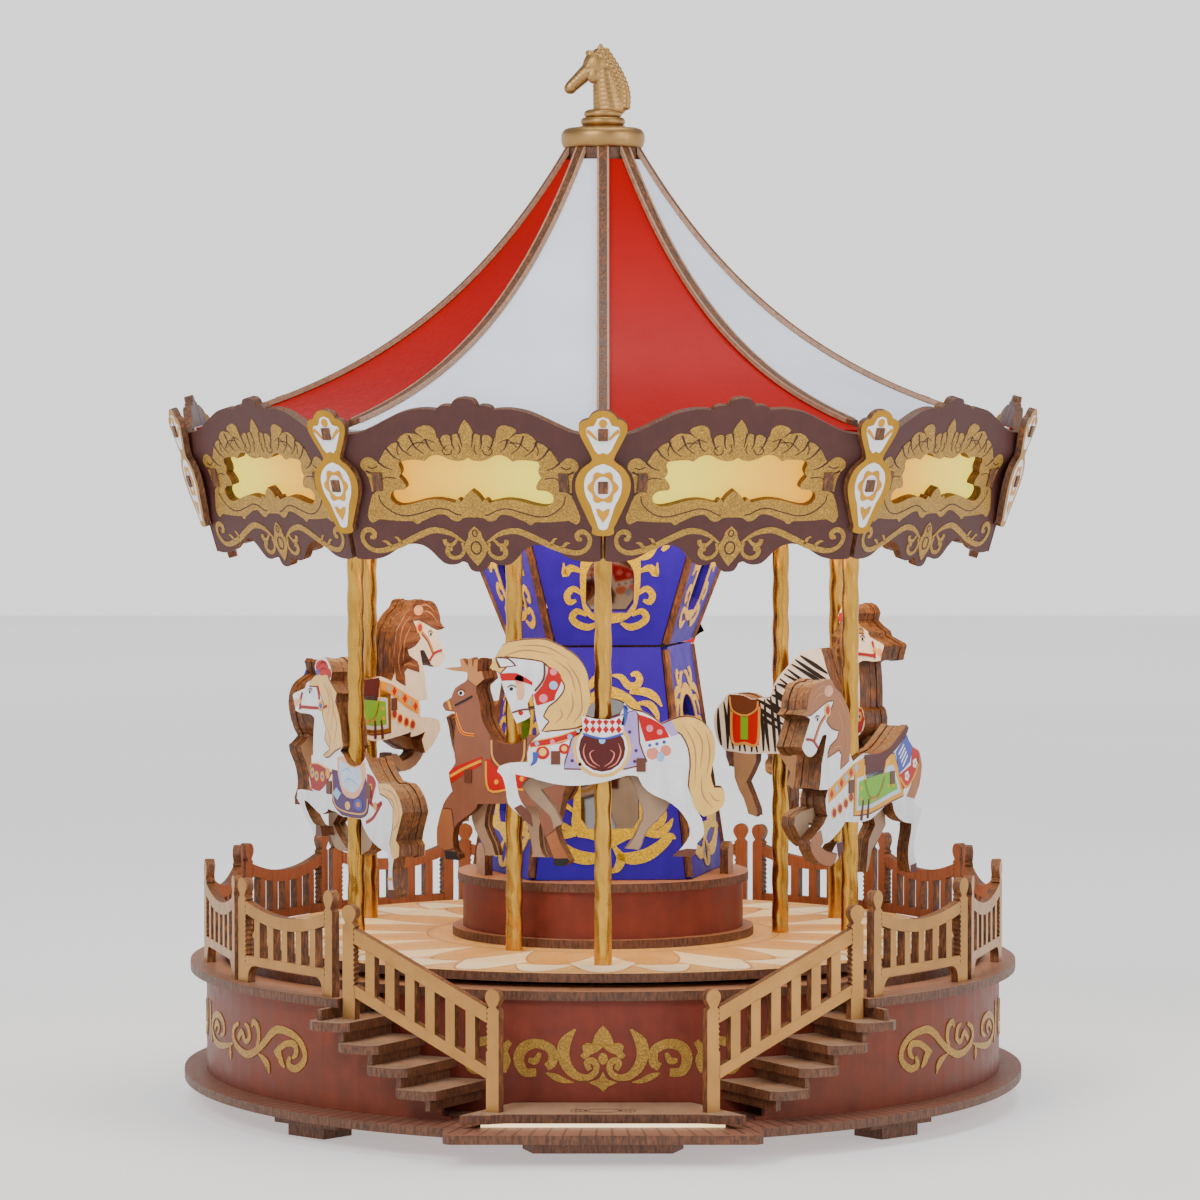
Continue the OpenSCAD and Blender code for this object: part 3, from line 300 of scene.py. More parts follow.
class Nodes:
    """Small helper that wires a node tree."""

    def __init__(self, name):
        self.material = bpy.data.materials.new(name)
        self.material.use_nodes = True
        self.tree = self.material.node_tree
        self.shader = self.tree.nodes["Principled BSDF"]
        self.place = self.make("ShaderNodeTexCoord").outputs["Object"]

    def make(self, kind, **settings):
        node = self.tree.nodes.new(kind)
        for key, value in settings.items():
            setattr(node, key, value)
        return node

    def link(self, source, target):
        self.tree.links.new(source, target)

    def feed(self, socket, value):
        """Gives a socket a number, a colour or another node's output."""
        if isinstance(value, (int, float)):
            socket.default_value = value
        elif isinstance(value, tuple):
            socket.default_value = (*value, 1)
        else:
            self.link(value, socket)

    def math(self, operation, *values):
        node = self.make("ShaderNodeMath", operation=operation)
        for socket, value in zip(node.inputs, values):
            self.feed(socket, value)
        return node.outputs[0]

    def stretched(self, scale):
        node = self.make("ShaderNodeMapping")
        node.inputs["Scale"].default_value = scale
        self.link(self.place, node.inputs["Vector"])
        return node.outputs[0]

    def noise(self, scale, detail=4.0, stretch=None, rough=0.5):
        node = self.make("ShaderNodeTexNoise")
        node.inputs["Scale"].default_value = scale
        node.inputs["Detail"].default_value = detail
        node.inputs["Roughness"].default_value = rough
        self.link(self.stretched(stretch) if stretch else self.place, node.inputs["Vector"])
        return node.outputs["Fac"]

    def ramp(self, value, stops):
        node = self.make("ShaderNodeValToRGB")
        ramp = node.color_ramp
        while len(ramp.elements) < len(stops):
            ramp.elements.new(0.5)
        for element, (at, color) in zip(ramp.elements, stops):
            element.position = at
            element.color = (*color, 1)
        self.link(value, node.inputs["Fac"])
        return node.outputs["Color"]

    def mix(self, factor, a, b, blend="MIX"):
        node = self.make("ShaderNodeMix", data_type="RGBA", blend_type=blend)
        for value, socket in ((factor, 0), (a, 6), (b, 7)):
            self.feed(node.inputs[socket], value)
        return node.outputs[2]

    def spread(self, value, low, high):
        """Stretches the middle of a noise, 0.3 to 0.7, to the range low to high."""
        node = self.make("ShaderNodeMapRange")
        self.link(value, node.inputs["Value"])
        node.inputs["From Min"].default_value = 0.3
        node.inputs["From Max"].default_value = 0.7
        node.inputs["To Min"].default_value = low
        node.inputs["To Max"].default_value = high
        return node.outputs[0]

    def bump(self, height, strength, distance):
        node = self.make("ShaderNodeBump")
        node.inputs["Strength"].default_value = strength
        node.inputs["Distance"].default_value = distance
        self.link(height, node.inputs["Height"])
        self.link(node.outputs[0], self.shader.inputs["Normal"])

    def set(self, **values):
        for key, value in values.items():
            self.feed(self.shader.inputs[key.replace("_", " ")], value)
        return self.material


def shade(color, factor):
    return tuple(min(1.0, c * factor) for c in color)


def painted(name, color, rough=0.42, vary=0.12, grain=0.05, gloss=0.3):
    """Paint or print on plywood: faint blotches and the wood's grain under it."""
    n = Nodes(name)
    blotch = n.noise(180, 5)
    fibre = n.noise(420, 3, (1.0, 1.0, 0.12))
    base = n.ramp(blotch, [(0.3, shade(color, 1 - vary)), (0.7, shade(color, 1 + vary * 0.6))])
    tint = n.ramp(fibre, [(0.35, (0.90, 0.90, 0.90)), (0.65, (1, 1, 1))])
    n.bump(fibre, grain * 4, 0.00006)
    return n.set(Base_Color=n.mix(0.7, base, tint, "MULTIPLY"), Specular_IOR_Level=gloss,
                 Roughness=n.spread(blotch, rough - 0.06, rough + 0.08))


def plywood(name, color, dark, rough=0.5, along=(1.0, 0.10, 1.0)):
    """Bare or stained ply: long fibres, pores and slightly uneven stain."""
    n = Nodes(name)
    fibre = n.noise(900, 6, along, 0.62)
    cloud = n.noise(60, 3)
    wood = n.ramp(fibre, [(0.25, dark), (0.5, color), (0.75, shade(color, 1.16))])
    stain = n.ramp(cloud, [(0.3, (0.82, 0.82, 0.82)), (0.7, (1, 1, 1))])
    n.bump(fibre, 0.25, 0.00008)
    return n.set(Base_Color=n.mix(0.8, wood, stain, "MULTIPLY"),
                 Roughness=n.spread(fibre, rough - 0.08, rough + 0.1))


def burnt(name, color=(0.150, 0.050, 0.012)):
    """Laser-cut edge: dark scorch with lighter amber streaks across the plies."""
    n = Nodes(name)
    streak = n.noise(1500, 5, (1.0, 1.0, 0.22), 0.6)
    cloud = n.noise(260, 4)
    edge = n.ramp(streak, [(0.32, shade(color, 0.35)), (0.52, color), (0.72, shade(color, 2.3))])
    scorch = n.ramp(cloud, [(0.35, (0.45, 0.42, 0.4)), (0.65, (1, 1, 1))])
    n.bump(streak, 0.4, 0.0001)
    return n.set(Base_Color=n.mix(0.85, edge, scorch, "MULTIPLY"), Roughness=n.spread(cloud, 0.45, 0.7))


def glitter(name, color, bright=2.4):
    """Gold glitter print: fine flakes with darker and brighter base colours, a painted glint for flakes that
    catch the light differently.
    """
    n = Nodes(name)
    flakes = n.make("ShaderNodeTexVoronoi")
    flakes.inputs["Scale"].default_value = 4200
    n.link(n.place, flakes.inputs["Vector"])
    split = n.make("ShaderNodeSeparateColor")
    n.link(flakes.outputs["Color"], split.inputs[0])
    cloud = n.noise(240, 3)
    # painted glint: each flake gets a base colour between a dark and a bright copy of the gold
    tone = n.ramp(split.outputs[0], [(0.0, shade(color, 0.62)), (0.6, color), (1.0, shade(color, bright))])
    glow = n.ramp(cloud, [(0.3, (0.8, 0.8, 0.8)), (0.7, (1, 1, 1))])
    n.bump(split.outputs[1], 0.8, 0.00012)
    return n.set(Base_Color=n.mix(0.6, tone, glow, "MULTIPLY"), Metallic=0.35,
                 Roughness=n.spread(split.outputs[2], 0.32, 0.55))


def metal(name, color, rough=0.28, scratch=0.15, vary=0.2):
    n = Nodes(name)
    brush = n.noise(600, 4, (1.0, 1.0, 0.15))
    cloud = n.noise(90, 3)
    tone = n.ramp(cloud, [(0.3, shade(color, 1 - vary)), (0.7, color)])
    n.bump(brush, scratch, 0.00008)
    return n.set(Base_Color=tone, Metallic=1.0, Roughness=n.spread(brush, rough - 0.06, rough + 0.1))


def mirror_film():
    n = Nodes("mirror_film")
    haze = n.noise(40, 3)
    tone = n.ramp(haze, [(0.3, (0.22, 0.20, 0.20)), (0.7, (0.34, 0.32, 0.30))])
    return n.set(Base_Color=tone, Metallic=1.0, Roughness=n.spread(haze, 0.03, 0.07))


def plastic(name, color, rough=0.45):
    n = Nodes(name)
    grain = n.noise(1400, 3)
    cloud = n.noise(120, 3)
    tone = n.ramp(cloud, [(0.3, shade(color, 0.86)), (0.7, color)])
    n.bump(grain, 0.1, 0.00005)
    return n.set(Base_Color=tone, Roughness=n.spread(grain, rough - 0.05, rough + 0.08))


def glossy_sheet(name, color):
    """Coated roof sheet: clear gloss over a faintly uneven colour."""
    n = Nodes(name)
    cloud = n.noise(28, 3)
    fine = n.noise(500, 2)
    tone = n.ramp(cloud, [(0.3, shade(color, 0.90)), (0.7, shade(color, 1.04))])
    n.bump(fine, 0.03, 0.00005)
    return n.set(Base_Color=tone, Roughness=n.spread(fine, 0.30, 0.42), Specular_IOR_Level=0.07)


def glowing(name, warm, pale, strength):
    """Glowing surface: paler in front of each of the five lamps and warmer between them. The window
    diffusers use it as lit diffusers; the strip under the landing uses it as a painted highlight.
    """
    n = Nodes(name)
    angle = from_spindle(n)[1]
    turn = n.math("MULTIPLY", n.math("ADD", angle, math.pi / 2), 5)
    near = n.math("MULTIPLY", n.math("ADD", n.math("COSINE", turn), 1), 0.5)
    soft = n.math("ADD", n.math("MULTIPLY", near, 0.85), n.math("MULTIPLY", n.noise(60, 3), 0.15))
    tone = n.ramp(soft, [(0.12, warm), (0.85, pale)])
    frost = n.noise(900, 2)
    return n.set(Base_Color=n.mix(0.8, tone, (0.02, 0.01, 0.0)), Emission_Color=tone,
                 Emission_Strength=strength,
                 Roughness=n.spread(frost, 0.45, 0.6))


def up_or_edge(name, top, edge, ticks=0, tick_band=(0.0, 0.0), tone=None):
    """One material for a level board: ply on its faces, scorched on its edges."""
    n = Nodes(name)
    fibre = n.noise(900, 6, (1.0, 0.10, 1.0), 0.62)
    cloud = n.noise(70, 3)
    face = n.ramp(fibre, [(0.25, shade(top, 0.74)), (0.5, top), (0.75, shade(top, 1.14))])
    if tone is not None:
        face = tone(n, face)
    streak = n.noise(1500, 5, (1.0, 1.0, 0.3))
    rim = n.ramp(streak, [(0.3, shade(edge, 0.4)), (0.7, shade(edge, 1.9))])
    normal = n.make("ShaderNodeSeparateXYZ")
    n.link(n.make("ShaderNodeNewGeometry").outputs["Normal"], normal.inputs[0])
    level = n.math("GREATER_THAN", n.math("ABSOLUTE", normal.outputs[2]), 0.5)
    color = n.mix(level, rim, face)
    if ticks:
        radius, angle = from_spindle(n)
        turn = n.math("FRACT", n.math("MULTIPLY", angle, ticks / (2 * math.pi)))
        mark = n.math("LESS_THAN", turn, 0.16)
        inside = n.math("MULTIPLY", n.math("GREATER_THAN", radius, tick_band[0] * MM),
                        n.math("LESS_THAN", radius, tick_band[1] * MM))
        color = n.mix(n.math("MULTIPLY", n.math("MULTIPLY", mark, inside), 0.75), color, shade(edge, 0.6))
    n.bump(fibre, 0.2, 0.00008)
    stain = n.ramp(cloud, [(0.3, (0.84, 0.84, 0.84)), (0.7, (1, 1, 1))])
    return n.set(Base_Color=n.mix(0.8, color, stain, "MULTIPLY"), Roughness=n.spread(fibre, 0.42, 0.6))


def from_spindle(n):
    """Radius in metres and angle round the spindle of the shaded point."""
    split = n.make("ShaderNodeSeparateXYZ")
    n.link(n.place, split.inputs[0])
    x = split.outputs[0]
    y = n.math("SUBTRACT", split.outputs[1], AXIS_Y * MM)
    radius = n.math("SQRT", n.math("ADD", n.math("MULTIPLY", x, x), n.math("MULTIPLY", y, y)))
    return radius, n.math("ARCTAN2", y, x)


def star_print(n, face):
    """Printed star on the turntable: petals in cream and ochre between thin brown lines."""
    radius, angle = from_spindle(n)
    mm = n.math("DIVIDE", radius, MM)
    color = face
    brown = (0.45, 0.17, 0.05)
    for petals, inner, reach, shift, fill in ((16, 50, 50, 0.0, (0.96, 0.80, 0.52)),
                                              (16, 50, 34, 0.5, (0.66, 0.34, 0.09)),
                                              (32, 84, 18, 0.0, (0.97, 0.86, 0.62))):
        turn = n.math("MULTIPLY", n.math("ADD", n.math("MULTIPLY", angle, petals / (2 * math.pi)), shift),
                      math.pi)
        wave = n.math("ABSOLUTE", n.math("COSINE", turn))
        edge = n.math("ADD", n.math("MULTIPLY", wave, reach), inner)
        gap = n.math("SUBTRACT", edge, mm)
        inside = n.math("GREATER_THAN", gap, 0.0)
        beyond = n.math("GREATER_THAN", mm, inner)
        color = n.mix(n.math("MULTIPLY", n.math("MULTIPLY", inside, beyond), 0.9), color, fill)
        line = n.math("LESS_THAN", n.math("ABSOLUTE", gap), 0.9)
        color = n.mix(n.math("MULTIPLY", n.math("MULTIPLY", line, beyond), 0.8), color, brown)
    for ring in (52, 99.5):
        line = n.math("LESS_THAN", n.math("ABSOLUTE", n.math("SUBTRACT", mm, ring)), 0.35)
        color = n.mix(n.math("MULTIPLY", line, 0.8), color, brown)
    return color


M = {
    "edge": burnt("burnt_edge"),
    "edge_light": burnt("burnt_edge_light", (0.20, 0.070, 0.020)),
    "base": up_or_edge("base_ply", (0.30, 0.125, 0.080), (0.10, 0.034, 0.012), 210, (116, 150)),
    "feet": up_or_edge("feet_ply", (0.18, 0.075, 0.035), (0.10, 0.034, 0.012)),
    "walk": up_or_edge("walkway_ply", (0.42, 0.20, 0.115), (0.10, 0.034, 0.012), 250, (118.5, 140)),
    "tan": up_or_edge("tan_ply", (0.38, 0.17, 0.09), (0.10, 0.034, 0.012)),
    "disc": up_or_edge("turntable_print", (0.78, 0.46, 0.16), (0.10, 0.035, 0.012), tone=star_print),
    "pale": up_or_edge("stair_print", (0.42, 0.25, 0.155), (0.10, 0.034, 0.012)),
    "drum": painted("drum_red_brown", (0.17, 0.032, 0.012), 0.45, 0.22),
    "riser": painted("riser_red_brown", (0.19, 0.030, 0.014), 0.45, 0.2),
    "glitter": glitter("gold_glitter", (0.42, 0.23, 0.034), 1.6),
    "glitter_bright": glitter("gold_glitter_bright", (0.80, 0.50, 0.012), 1.6),
    "line": painted("dark_print", (0.055, 0.018, 0.016), 0.5),
    "fascia": painted("chocolate_paint", (0.080, 0.026, 0.022), 0.5, 0.14, 0.08),
    "white": painted("white_print", (0.84, 0.84, 0.86), 0.4, 0.05),
    "ochre": painted("ochre_print", (0.60, 0.27, 0.012), 0.42, 0.12),
    "gold_border": metal("gold_border", (0.50, 0.26, 0.03), 0.4, 0.2),
    "blue": painted("royal_blue", (0.030, 0.004, 0.42), 0.45, 0.10, 0.05, gloss=0.15),
    "roof_white": glossy_sheet("roof_white", (0.80, 0.84, 0.95)),
    "roof_red": glossy_sheet("roof_red", (0.40, 0.0003, 0.0002)),
    "rib": plywood("rib_ply", (0.42, 0.235, 0.14), (0.26, 0.13, 0.07)),
    "gold": metal("pole_gold", (0.62, 0.33, 0.055), 0.22, 0.25, 0.25),
    "gold_board": metal("board_gold", (0.50, 0.26, 0.085), 0.36, 0.25, 0.22),
    "board_wood": plywood("board_red_ply", (0.36, 0.11, 0.042), (0.18, 0.05, 0.02), 0.5, (1.0, 1.0, 0.1)),
    "finial": metal("finial_gold", (0.46, 0.27, 0.10), 0.42, 0.3, 0.25),
    "steel": metal("bright_steel", (0.62, 0.62, 0.64), 0.3),
    "plastic": plastic("works_plastic", (0.82, 0.82, 0.80)),
    "black": plastic("black_plastic", (0.03, 0.03, 0.03)),
    "board": plastic("circuit_board", (0.02, 0.16, 0.06), 0.35),
    "glow": glowing("window_glow", (1.0, 0.40, 0.0), (1.0, 0.84, 0.07), 1.4),
    # painted highlight: a glowing strip stands for the bright gap under the landing; there is no lamp there
    "strip": glowing("painted_gap_glow", (1.0, 0.60, 0.22), (1.0, 0.80, 0.45), 2.2),
    "mirror": mirror_film(),
}



KEEPS_SHAPE = {
    "base": ("base_plate",), "feet": ("base_feet", "battery_cover"), "drum": ("drum_wall",),
    "riser": ("front_riser", "plinth_wall"), "walk": ("walkway_ring",),
    "tan": ("drum_formers", "stage_plate", "canopy_floor", "roof_hub", "plinth_lower_disc",
            "plinth_upper_disc"),
    "pale": ("stair_treads", "stair_risers", "front_landing", "start_button"),
    "plastic": ("cam_ring", "drive_pinion", "ring_gear"),
    "steel": ("gear_motor", "spindle_bearing", "centre_spindle"),
    "black": ("battery_box", "speaker"), "board": ("control_board", "light_board"),
    "disc": ("turntable_disc",), "blue": ("tower_lower_panels", "tower_upper_panels"),
    "mirror": ("tower_mirrors",), "edge": ("tower_frame",), "glow": ("window_diffusers",),
}


def dress():
    """Gives the CAD nodes that keep their shape their finished materials."""
    for key, nodes in KEEPS_SHAPE.items():
        for node in nodes:
            found = frame["nodes"][node]
            for piece in found if isinstance(found, list) else [found]:
                piece.data.materials.clear()
                piece.data.materials.append(M[key])


dress()


# ------------------------------------------------------------------ canopy

SIDES = 10
HALF_SIDE = 180 / SIDES
PLY = 2.5
FASCIA_LOW_R, FASCIA_HIGH_R = 117.0, 127.0
FASCIA_LOW_Z, FASCIA_HIGH_Z = 161.5, 196.0
FASCIA_A = FASCIA_LOW_R * math.cos(math.radians(HALF_SIDE))
FASCIA_RUN = (FASCIA_HIGH_R - FASCIA_LOW_R) * math.cos(math.radians(HALF_SIDE))
FASCIA_LEAN = math.atan(FASCIA_RUN / (FASCIA_HIGH_Z - FASCIA_LOW_Z))
LAYER = 0.14                      # thickness that stands for a print layer


def on_board(outline):
    """Turns heights above the ground into heights along the leaning fascia."""
    return [(x, (z - FASCIA_LOW_Z) / math.cos(FASCIA_LEAN)) for x, z in outline]


def strip_on_board(strip):
    return on_board(strip[0]), on_board(strip[1])


def side_x(z):
    return (FASCIA_A + (z - FASCIA_LOW_Z) * math.tan(FASCIA_LEAN)) * math.tan(math.radians(HALF_SIDE)) - 0.85


def fascia_place(k):
    matrix = (turned(HALF_SIDE + 2 * HALF_SIDE * k) @ moved(0, -FASCIA_A, FASCIA_LOW_Z)
              @ Matrix.Rotation(FASCIA_LEAN, 4, "X") @ UPRIGHT)
    return by_matrix(matrix)


CREST = ([(0, 205.5)] + smooth([(0.9, 205.4), (2.6, 205), (3.5, 203.9), (3.8, 203.2)])
         + smooth([(4.6, 203.5), (6.2, 203.5), (7.6, 203), (8.2, 202.2)])
         + smooth([(9, 202.4), (13, 202.5), (18, 201.6), (22.8, 199.6), (27.5, 197.4), (31.6, 195.9),
                   (side_x(195.3), 195.3)]))
FOOT = (smooth([(side_x(161.3), 161.3), (33, 161), (29.5, 161.2), (26.5, 162), (23.5, 163.7), (21, 165),
                (18.2, 165.5), (15.5, 165.1), (13.2, 163.6), (11.3, 161.6), (9.6, 160.2), (7.5, 159.8),
                (5.6, 160.1), (4.3, 160.7), (3, 160.3)])
        + smooth([(2.7, 159.4), (2, 158.4), (0.9, 157.95), (0, 157.9)]))
WINDOW = ([(0, 189.3), (1.4, 188.6)]
          + smooth([(3.2, 188.4), (5.6, 188.9), (7.4, 189.8), (9.4, 190.1), (11.3, 189.5)])
          + [(12.8, 188.3)] + smooth([(14, 188.7), (17, 188.7), (20, 188.3)])
          + smooth([(20.4, 187.3), (19.9, 186), (20, 184.9), (20.6, 184)])
          + smooth([(19.6, 182.9), (19, 181.9), (18.9, 180.9), (19.6, 180.5)])
          + smooth([(21.6, 180.4), (23, 179.7), (23.6, 178.6), (23.2, 177.4), (22.2, 176.5), (20.5, 176.1),
                    (17.4, 176.6), (13.5, 177.6), (9.5, 177.9), (4.9, 177)])
          + [(4.3, 177.9), (3.6, 177.9), (3.1, 177.3)] + smooth([(2.4, 178.2), (1.6, 179.2), (0, 180.4)]))
LEAF_FRAME = ([(0, 199.7)] + smooth([(1, 198.6), (1.9, 197), (2.1, 195.8)])
              + smooth([(2.9, 195.9), (3.8, 195.6), (4.3, 194.9)])
              + smooth([(5.2, 195.6), (6.6, 195.4), (7.8, 194.1)])
              + smooth([(8.6, 195.2), (9, 197), (10.4, 198.1), (12.2, 198.1)])
              + smooth([(13.7, 197.6), (14.6, 196.7), (13.4, 195.6), (12, 194.3)])
              + smooth([(14.2, 195.7), (17.2, 196), (19.2, 195), (20.2, 193.6)])
              + smooth([(22, 193), (24, 191.2), (25.3, 189.2), (26.2, 187.8)])
              + smooth([(27, 188.4), (28.4, 189.3), (30.2, 189.1), (31.4, 187.9), (31.4, 186.5),
                        (30.2, 185.3)])
              + smooth([(29.4, 183.5), (29, 181), (28.9, 178.9), (29.6, 177.2), (30.2, 175.4)])
              + smooth([(30.8, 173.4), (30.3, 171.8), (29.4, 171.3)])
              + smooth([(27.4, 172.3), (22.5, 171.9), (17.6, 171.8)])
              + smooth([(16.8, 171.1), (16, 171.1), (15.2, 171.8)])
              + smooth([(12.9, 172.7), (10.5, 173.6), (8.1, 173.7), (6.5, 172.4)])
              + smooth([(5.4, 171.9), (4.2, 172), (2.6, 172.9), (0, 173)]))


def mirrored_strip(strip):
    return [(-x, z) for x, z in strip[1]], [(-x, z) for x, z in strip[0]]


def frieze():
    """Fascia boards with their glitter leaf frames, scrolls and pendants."""
    boards = Piece("frieze_boards", "rotor", "fascia_brown", [M["fascia"], M["edge"]])
    leaf = Piece("frieze_leaf_frames", "rotor", "fascia_brown", [M["glitter"], M["line"]])
    outline = on_board(both_halves(CREST + FOOT))
    window = on_board(both_halves(WINDOW))
    leaf_outline = on_board(both_halves(LEAF_FRAME))
    scroll = stroke([(3.2, 166.0), (6.5, 168.2), (9.6, 169.2), (12.8, 169.2), (17.3, 167.4), (22, 165.2),
                     (26.4, 163.8), (29.6, 163.6), (32, 164.9), (33, 167.1), (32.2, 168.9), (30.6, 169.3),
                     (29.4, 168.4), (29.7, 167.3), (30.7, 167.3)],
                    [0.5, 1.1, 1.5, 1.7, 1.7, 1.6, 1.5, 1.3, 1.2, 1.2, 1.3, 1.4, 1.4, 1.3, 0.8])
    curl = stroke([(4.0, 166), (3.6, 163.8), (4.8, 162.2), (6.8, 161.8), (8.3, 162.8), (8.2, 164.2),
                   (6.9, 164.3)],
                  [0.8, 0.9, 1.0, 1.1, 1.3, 1.5, 1.0])
    upper_curl = stroke([(5.2, 167.0), (6.9, 165.4), (8.6, 165.6), (9.0, 166.9)], [0.7, 1.0, 1.3, 1.2])
    spur = stroke([(24.6, 164.6), (26, 166), (27.2, 166.2)], [0.9, 0.8, 0.2])
    spur_two = stroke([(21.6, 165.4), (22.6, 167), (23.6, 167.4)], [0.9, 0.7, 0.2])
    drop = closed(both_halves([(0, 170.6), (1.7, 169), (2, 167.6), (3.2, 165.4), (2.9, 163.4),
                               (1.6, 161.4), (0, 159.6)]))
    lines = [even([(27.0, 179), (26.2, 176.6), (22.8, 174), (18.9, 173.3), (14.1, 174.4), (10.3, 175.4),
                   (7.4, 175.1), (4.9, 173.9), (3.4, 173.6)], 0.3),
             even([(19.6, 193.6), (20.4, 191.6), (20, 190)], 0.28),
             even([(12, 193.4), (15, 193.3), (17.6, 191.2)], 0.28),
             even([(14.4, 192.2), (12, 194.3), (9.4, 193.5)], 0.22),
             even([(26.4, 187), (28, 186.3), (29.4, 186.8)], 0.28),
             even([(5.9, 192.6), (7.2, 191.4), (6.4, 190.2), (4.9, 190.4), (4.3, 191.6)], 0.26),
             even([(2.4, 193), (2, 191.4), (2.8, 190.4)], 0.26),
             even([(21.5, 183.6), (24.2, 183.9), (26.2, 182.8)], 0.26)]
    lines += [stroke(path, [0.16, 0.36, 0.62]) for path in (
        [(1.4, 192.2), (1.7, 194), (2.1, 195.9)], [(3.6, 191.6), (4.2, 193), (4.3, 195.1)],
        [(6.0, 191.2), (7, 192.4), (7.8, 194.4)], [(9.6, 191), (11, 192.2), (11.9, 194.5)],
        [(12.6, 190.4), (15, 192.2), (16.6, 195.4)], [(16.4, 189.8), (18.8, 191.4), (20.2, 193.8)],
        [(19.6, 188.6), (21.6, 189.6), (23.6, 191.9)], [(22.2, 186), (24.2, 186.6), (26.2, 188)],
        [(26.8, 184.6), (28.4, 184.9), (30.0, 185.6)], [(25.6, 180.4), (27.4, 180.2), (29, 179.4)])]
    oval = (ellipse(0, 164.6, 1.65, 1.9), ellipse(0, 164.6, 1.25, 1.5))
    small_oval = (ellipse(0, 168.6, 0.85, 1.1), ellipse(0, 168.6, 0.55, 0.8))
    for k in range(SIDES):
        place = fascia_place(k)
        boards.prism(outline, -PLY, 0, place, 0, 1, [window])
        leaf.prism(leaf_outline, 0, LAYER, place, 0, 0, [window])
        leaf.prism(on_board(drop), 0, LAYER + 0.02, place)
        for flip in (False, True):
            for strip in (scroll, curl, upper_curl, spur, spur_two):
                leaf.ribbon(strip_on_board(mirrored_strip(strip) if flip else strip), 0, LAYER, place)
            for strip in lines:
                leaf.ribbon(strip_on_board(mirrored_strip(strip) if flip else strip), LAYER, LAYER * 1.5,
                            place, 1)
        for outer, inner in (oval, small_oval):
            leaf.prism(on_board(outer), LAYER, LAYER * 1.6, place, 1, 1, [on_board(inner)])
        for x in (-26.9, 26.9):
            boards.prism(on_board(rect(x - 1.4, 180.2, x + 1.4, 185.2)), 0.02, 0.55, place, 1, 1)
    boards.finish(replaces=("frieze_panels",))
    leaf.finish()


CARTOUCHE = (smooth([(0, 202.7), (1.6, 202.5), (3.1, 201.6), (3.9, 200.4)])
             + smooth([(5.2, 200.1), (6.3, 199.2), (6.6, 197.8), (6.1, 196), (4.7, 193.2), (3.5, 191),
                       (2.9, 189.4)])
             + smooth([(3.6, 188.6), (5.4, 187.3), (6.9, 185.2), (7.5, 182.7), (7, 179.7), (5.2, 175.6),
                       (3.7, 172.4),
                       (2.9, 170.9), (3, 169.6), (1.9, 168.9), (0, 168.7)]))


def cartouches():
    """Corner badges: dark-edged board, gold border, white field, ochre flower."""
    lean = math.atan((FASCIA_HIGH_R - FASCIA_LOW_R) / (FASCIA_HIGH_Z - FASCIA_LOW_Z))
    board = Piece("cartouche_boards", "rotor", "cartouche_print",
                  [M["gold_border"], M["edge"], M["white"], M["ochre"]])

    def along(outline):
        return [(x, (z - FASCIA_LOW_Z) / math.cos(lean)) for x, z in outline]

    outline = along(both_halves(CARTOUCHE))
    thick = 1.8
    flower = []
    for i in range(48):
        a = 2 * math.pi * i / 48
        r = 4.2 + 0.5 * math.cos(6 * a)
        flower.append((r * 0.9 * math.cos(a), 182 + r * math.sin(a)))
    for k in range(SIDES):
        matrix = (turned(2 * HALF_SIDE * k) @ moved(0, -FASCIA_LOW_R + 0.1, FASCIA_LOW_Z)
                  @ Matrix.Rotation(lean, 4, "X") @ UPRIGHT)
        place = by_matrix(matrix)
        board.prism(outline, 0, thick, place, 0, 1)
        upper = both_halves([(0, 201)] + smooth([(1.5, 200.5), (2.1, 199.2), (2.5, 198.6)])
                            + smooth([(4.2, 198.3), (4.6, 197), (3.6, 194.8), (2.2, 192)])
                            + [(1.2, 191), (0, 191.4)])
        lower = both_halves([(0, 188.4)] + smooth([(2, 187.7), (4.2, 185.8), (5.1, 183.2), (4.7, 180),
                                                   (3.2, 177)])
                            + smooth([(2.6, 175), (1.7, 172.4), (1.1, 170.8), (0, 170.4)]))
        for field in (upper, lower):
            board.prism(along(field), thick, thick + LAYER, place, 2)
        board.prism(along(flower), thick + LAYER, thick + 2 * LAYER, place, 3, 3,
                    [along(ellipse(0, 182, 2.5, 3.0))])
        board.prism(along(ellipse(0, 199.3, 1.15, 1.15)), thick + LAYER, thick + 2 * LAYER, place, 3)
        drop = both_halves([(0, 175.4), (1.1, 176.2), (1.9, 176.2), (1.5, 174.6), (0, 172.4)])
        board.prism(along(drop), thick + LAYER, thick + 2 * LAYER, place, 3)
        for side in (-1, 1):
            arm = stroke([(side * 4.4, 197.4), (side * 3.1, 196.4), (side * 1.7, 194.9)], [1.0, 0.9, 0.5])
            board.ribbon((along(arm[0]), along(arm[1])), thick + LAYER, thick + 2 * LAYER, place, 3)
        for z in (196.3, 182):
            tenon = rect(-1.35, z - 1.6, 1.35, z + 1.6)
            board.prism(along(tenon), thick + LAYER, thick + 0.7, place, 1, 1)
    board.finish(replaces=("frieze_cartouches",))


ROOF_BASE_Z, ROOF_RISE, ROOF_FALL = 184.5, 114.0, 58.0


def roof_z(r):
    return ROOF_BASE_Z + ROOF_RISE * math.exp(-r / ROOF_FALL)


def roof_depth(r, t):
    return t * math.sqrt(1 + (ROOF_RISE / ROOF_FALL * math.exp(-r / ROOF_FALL)) ** 2)


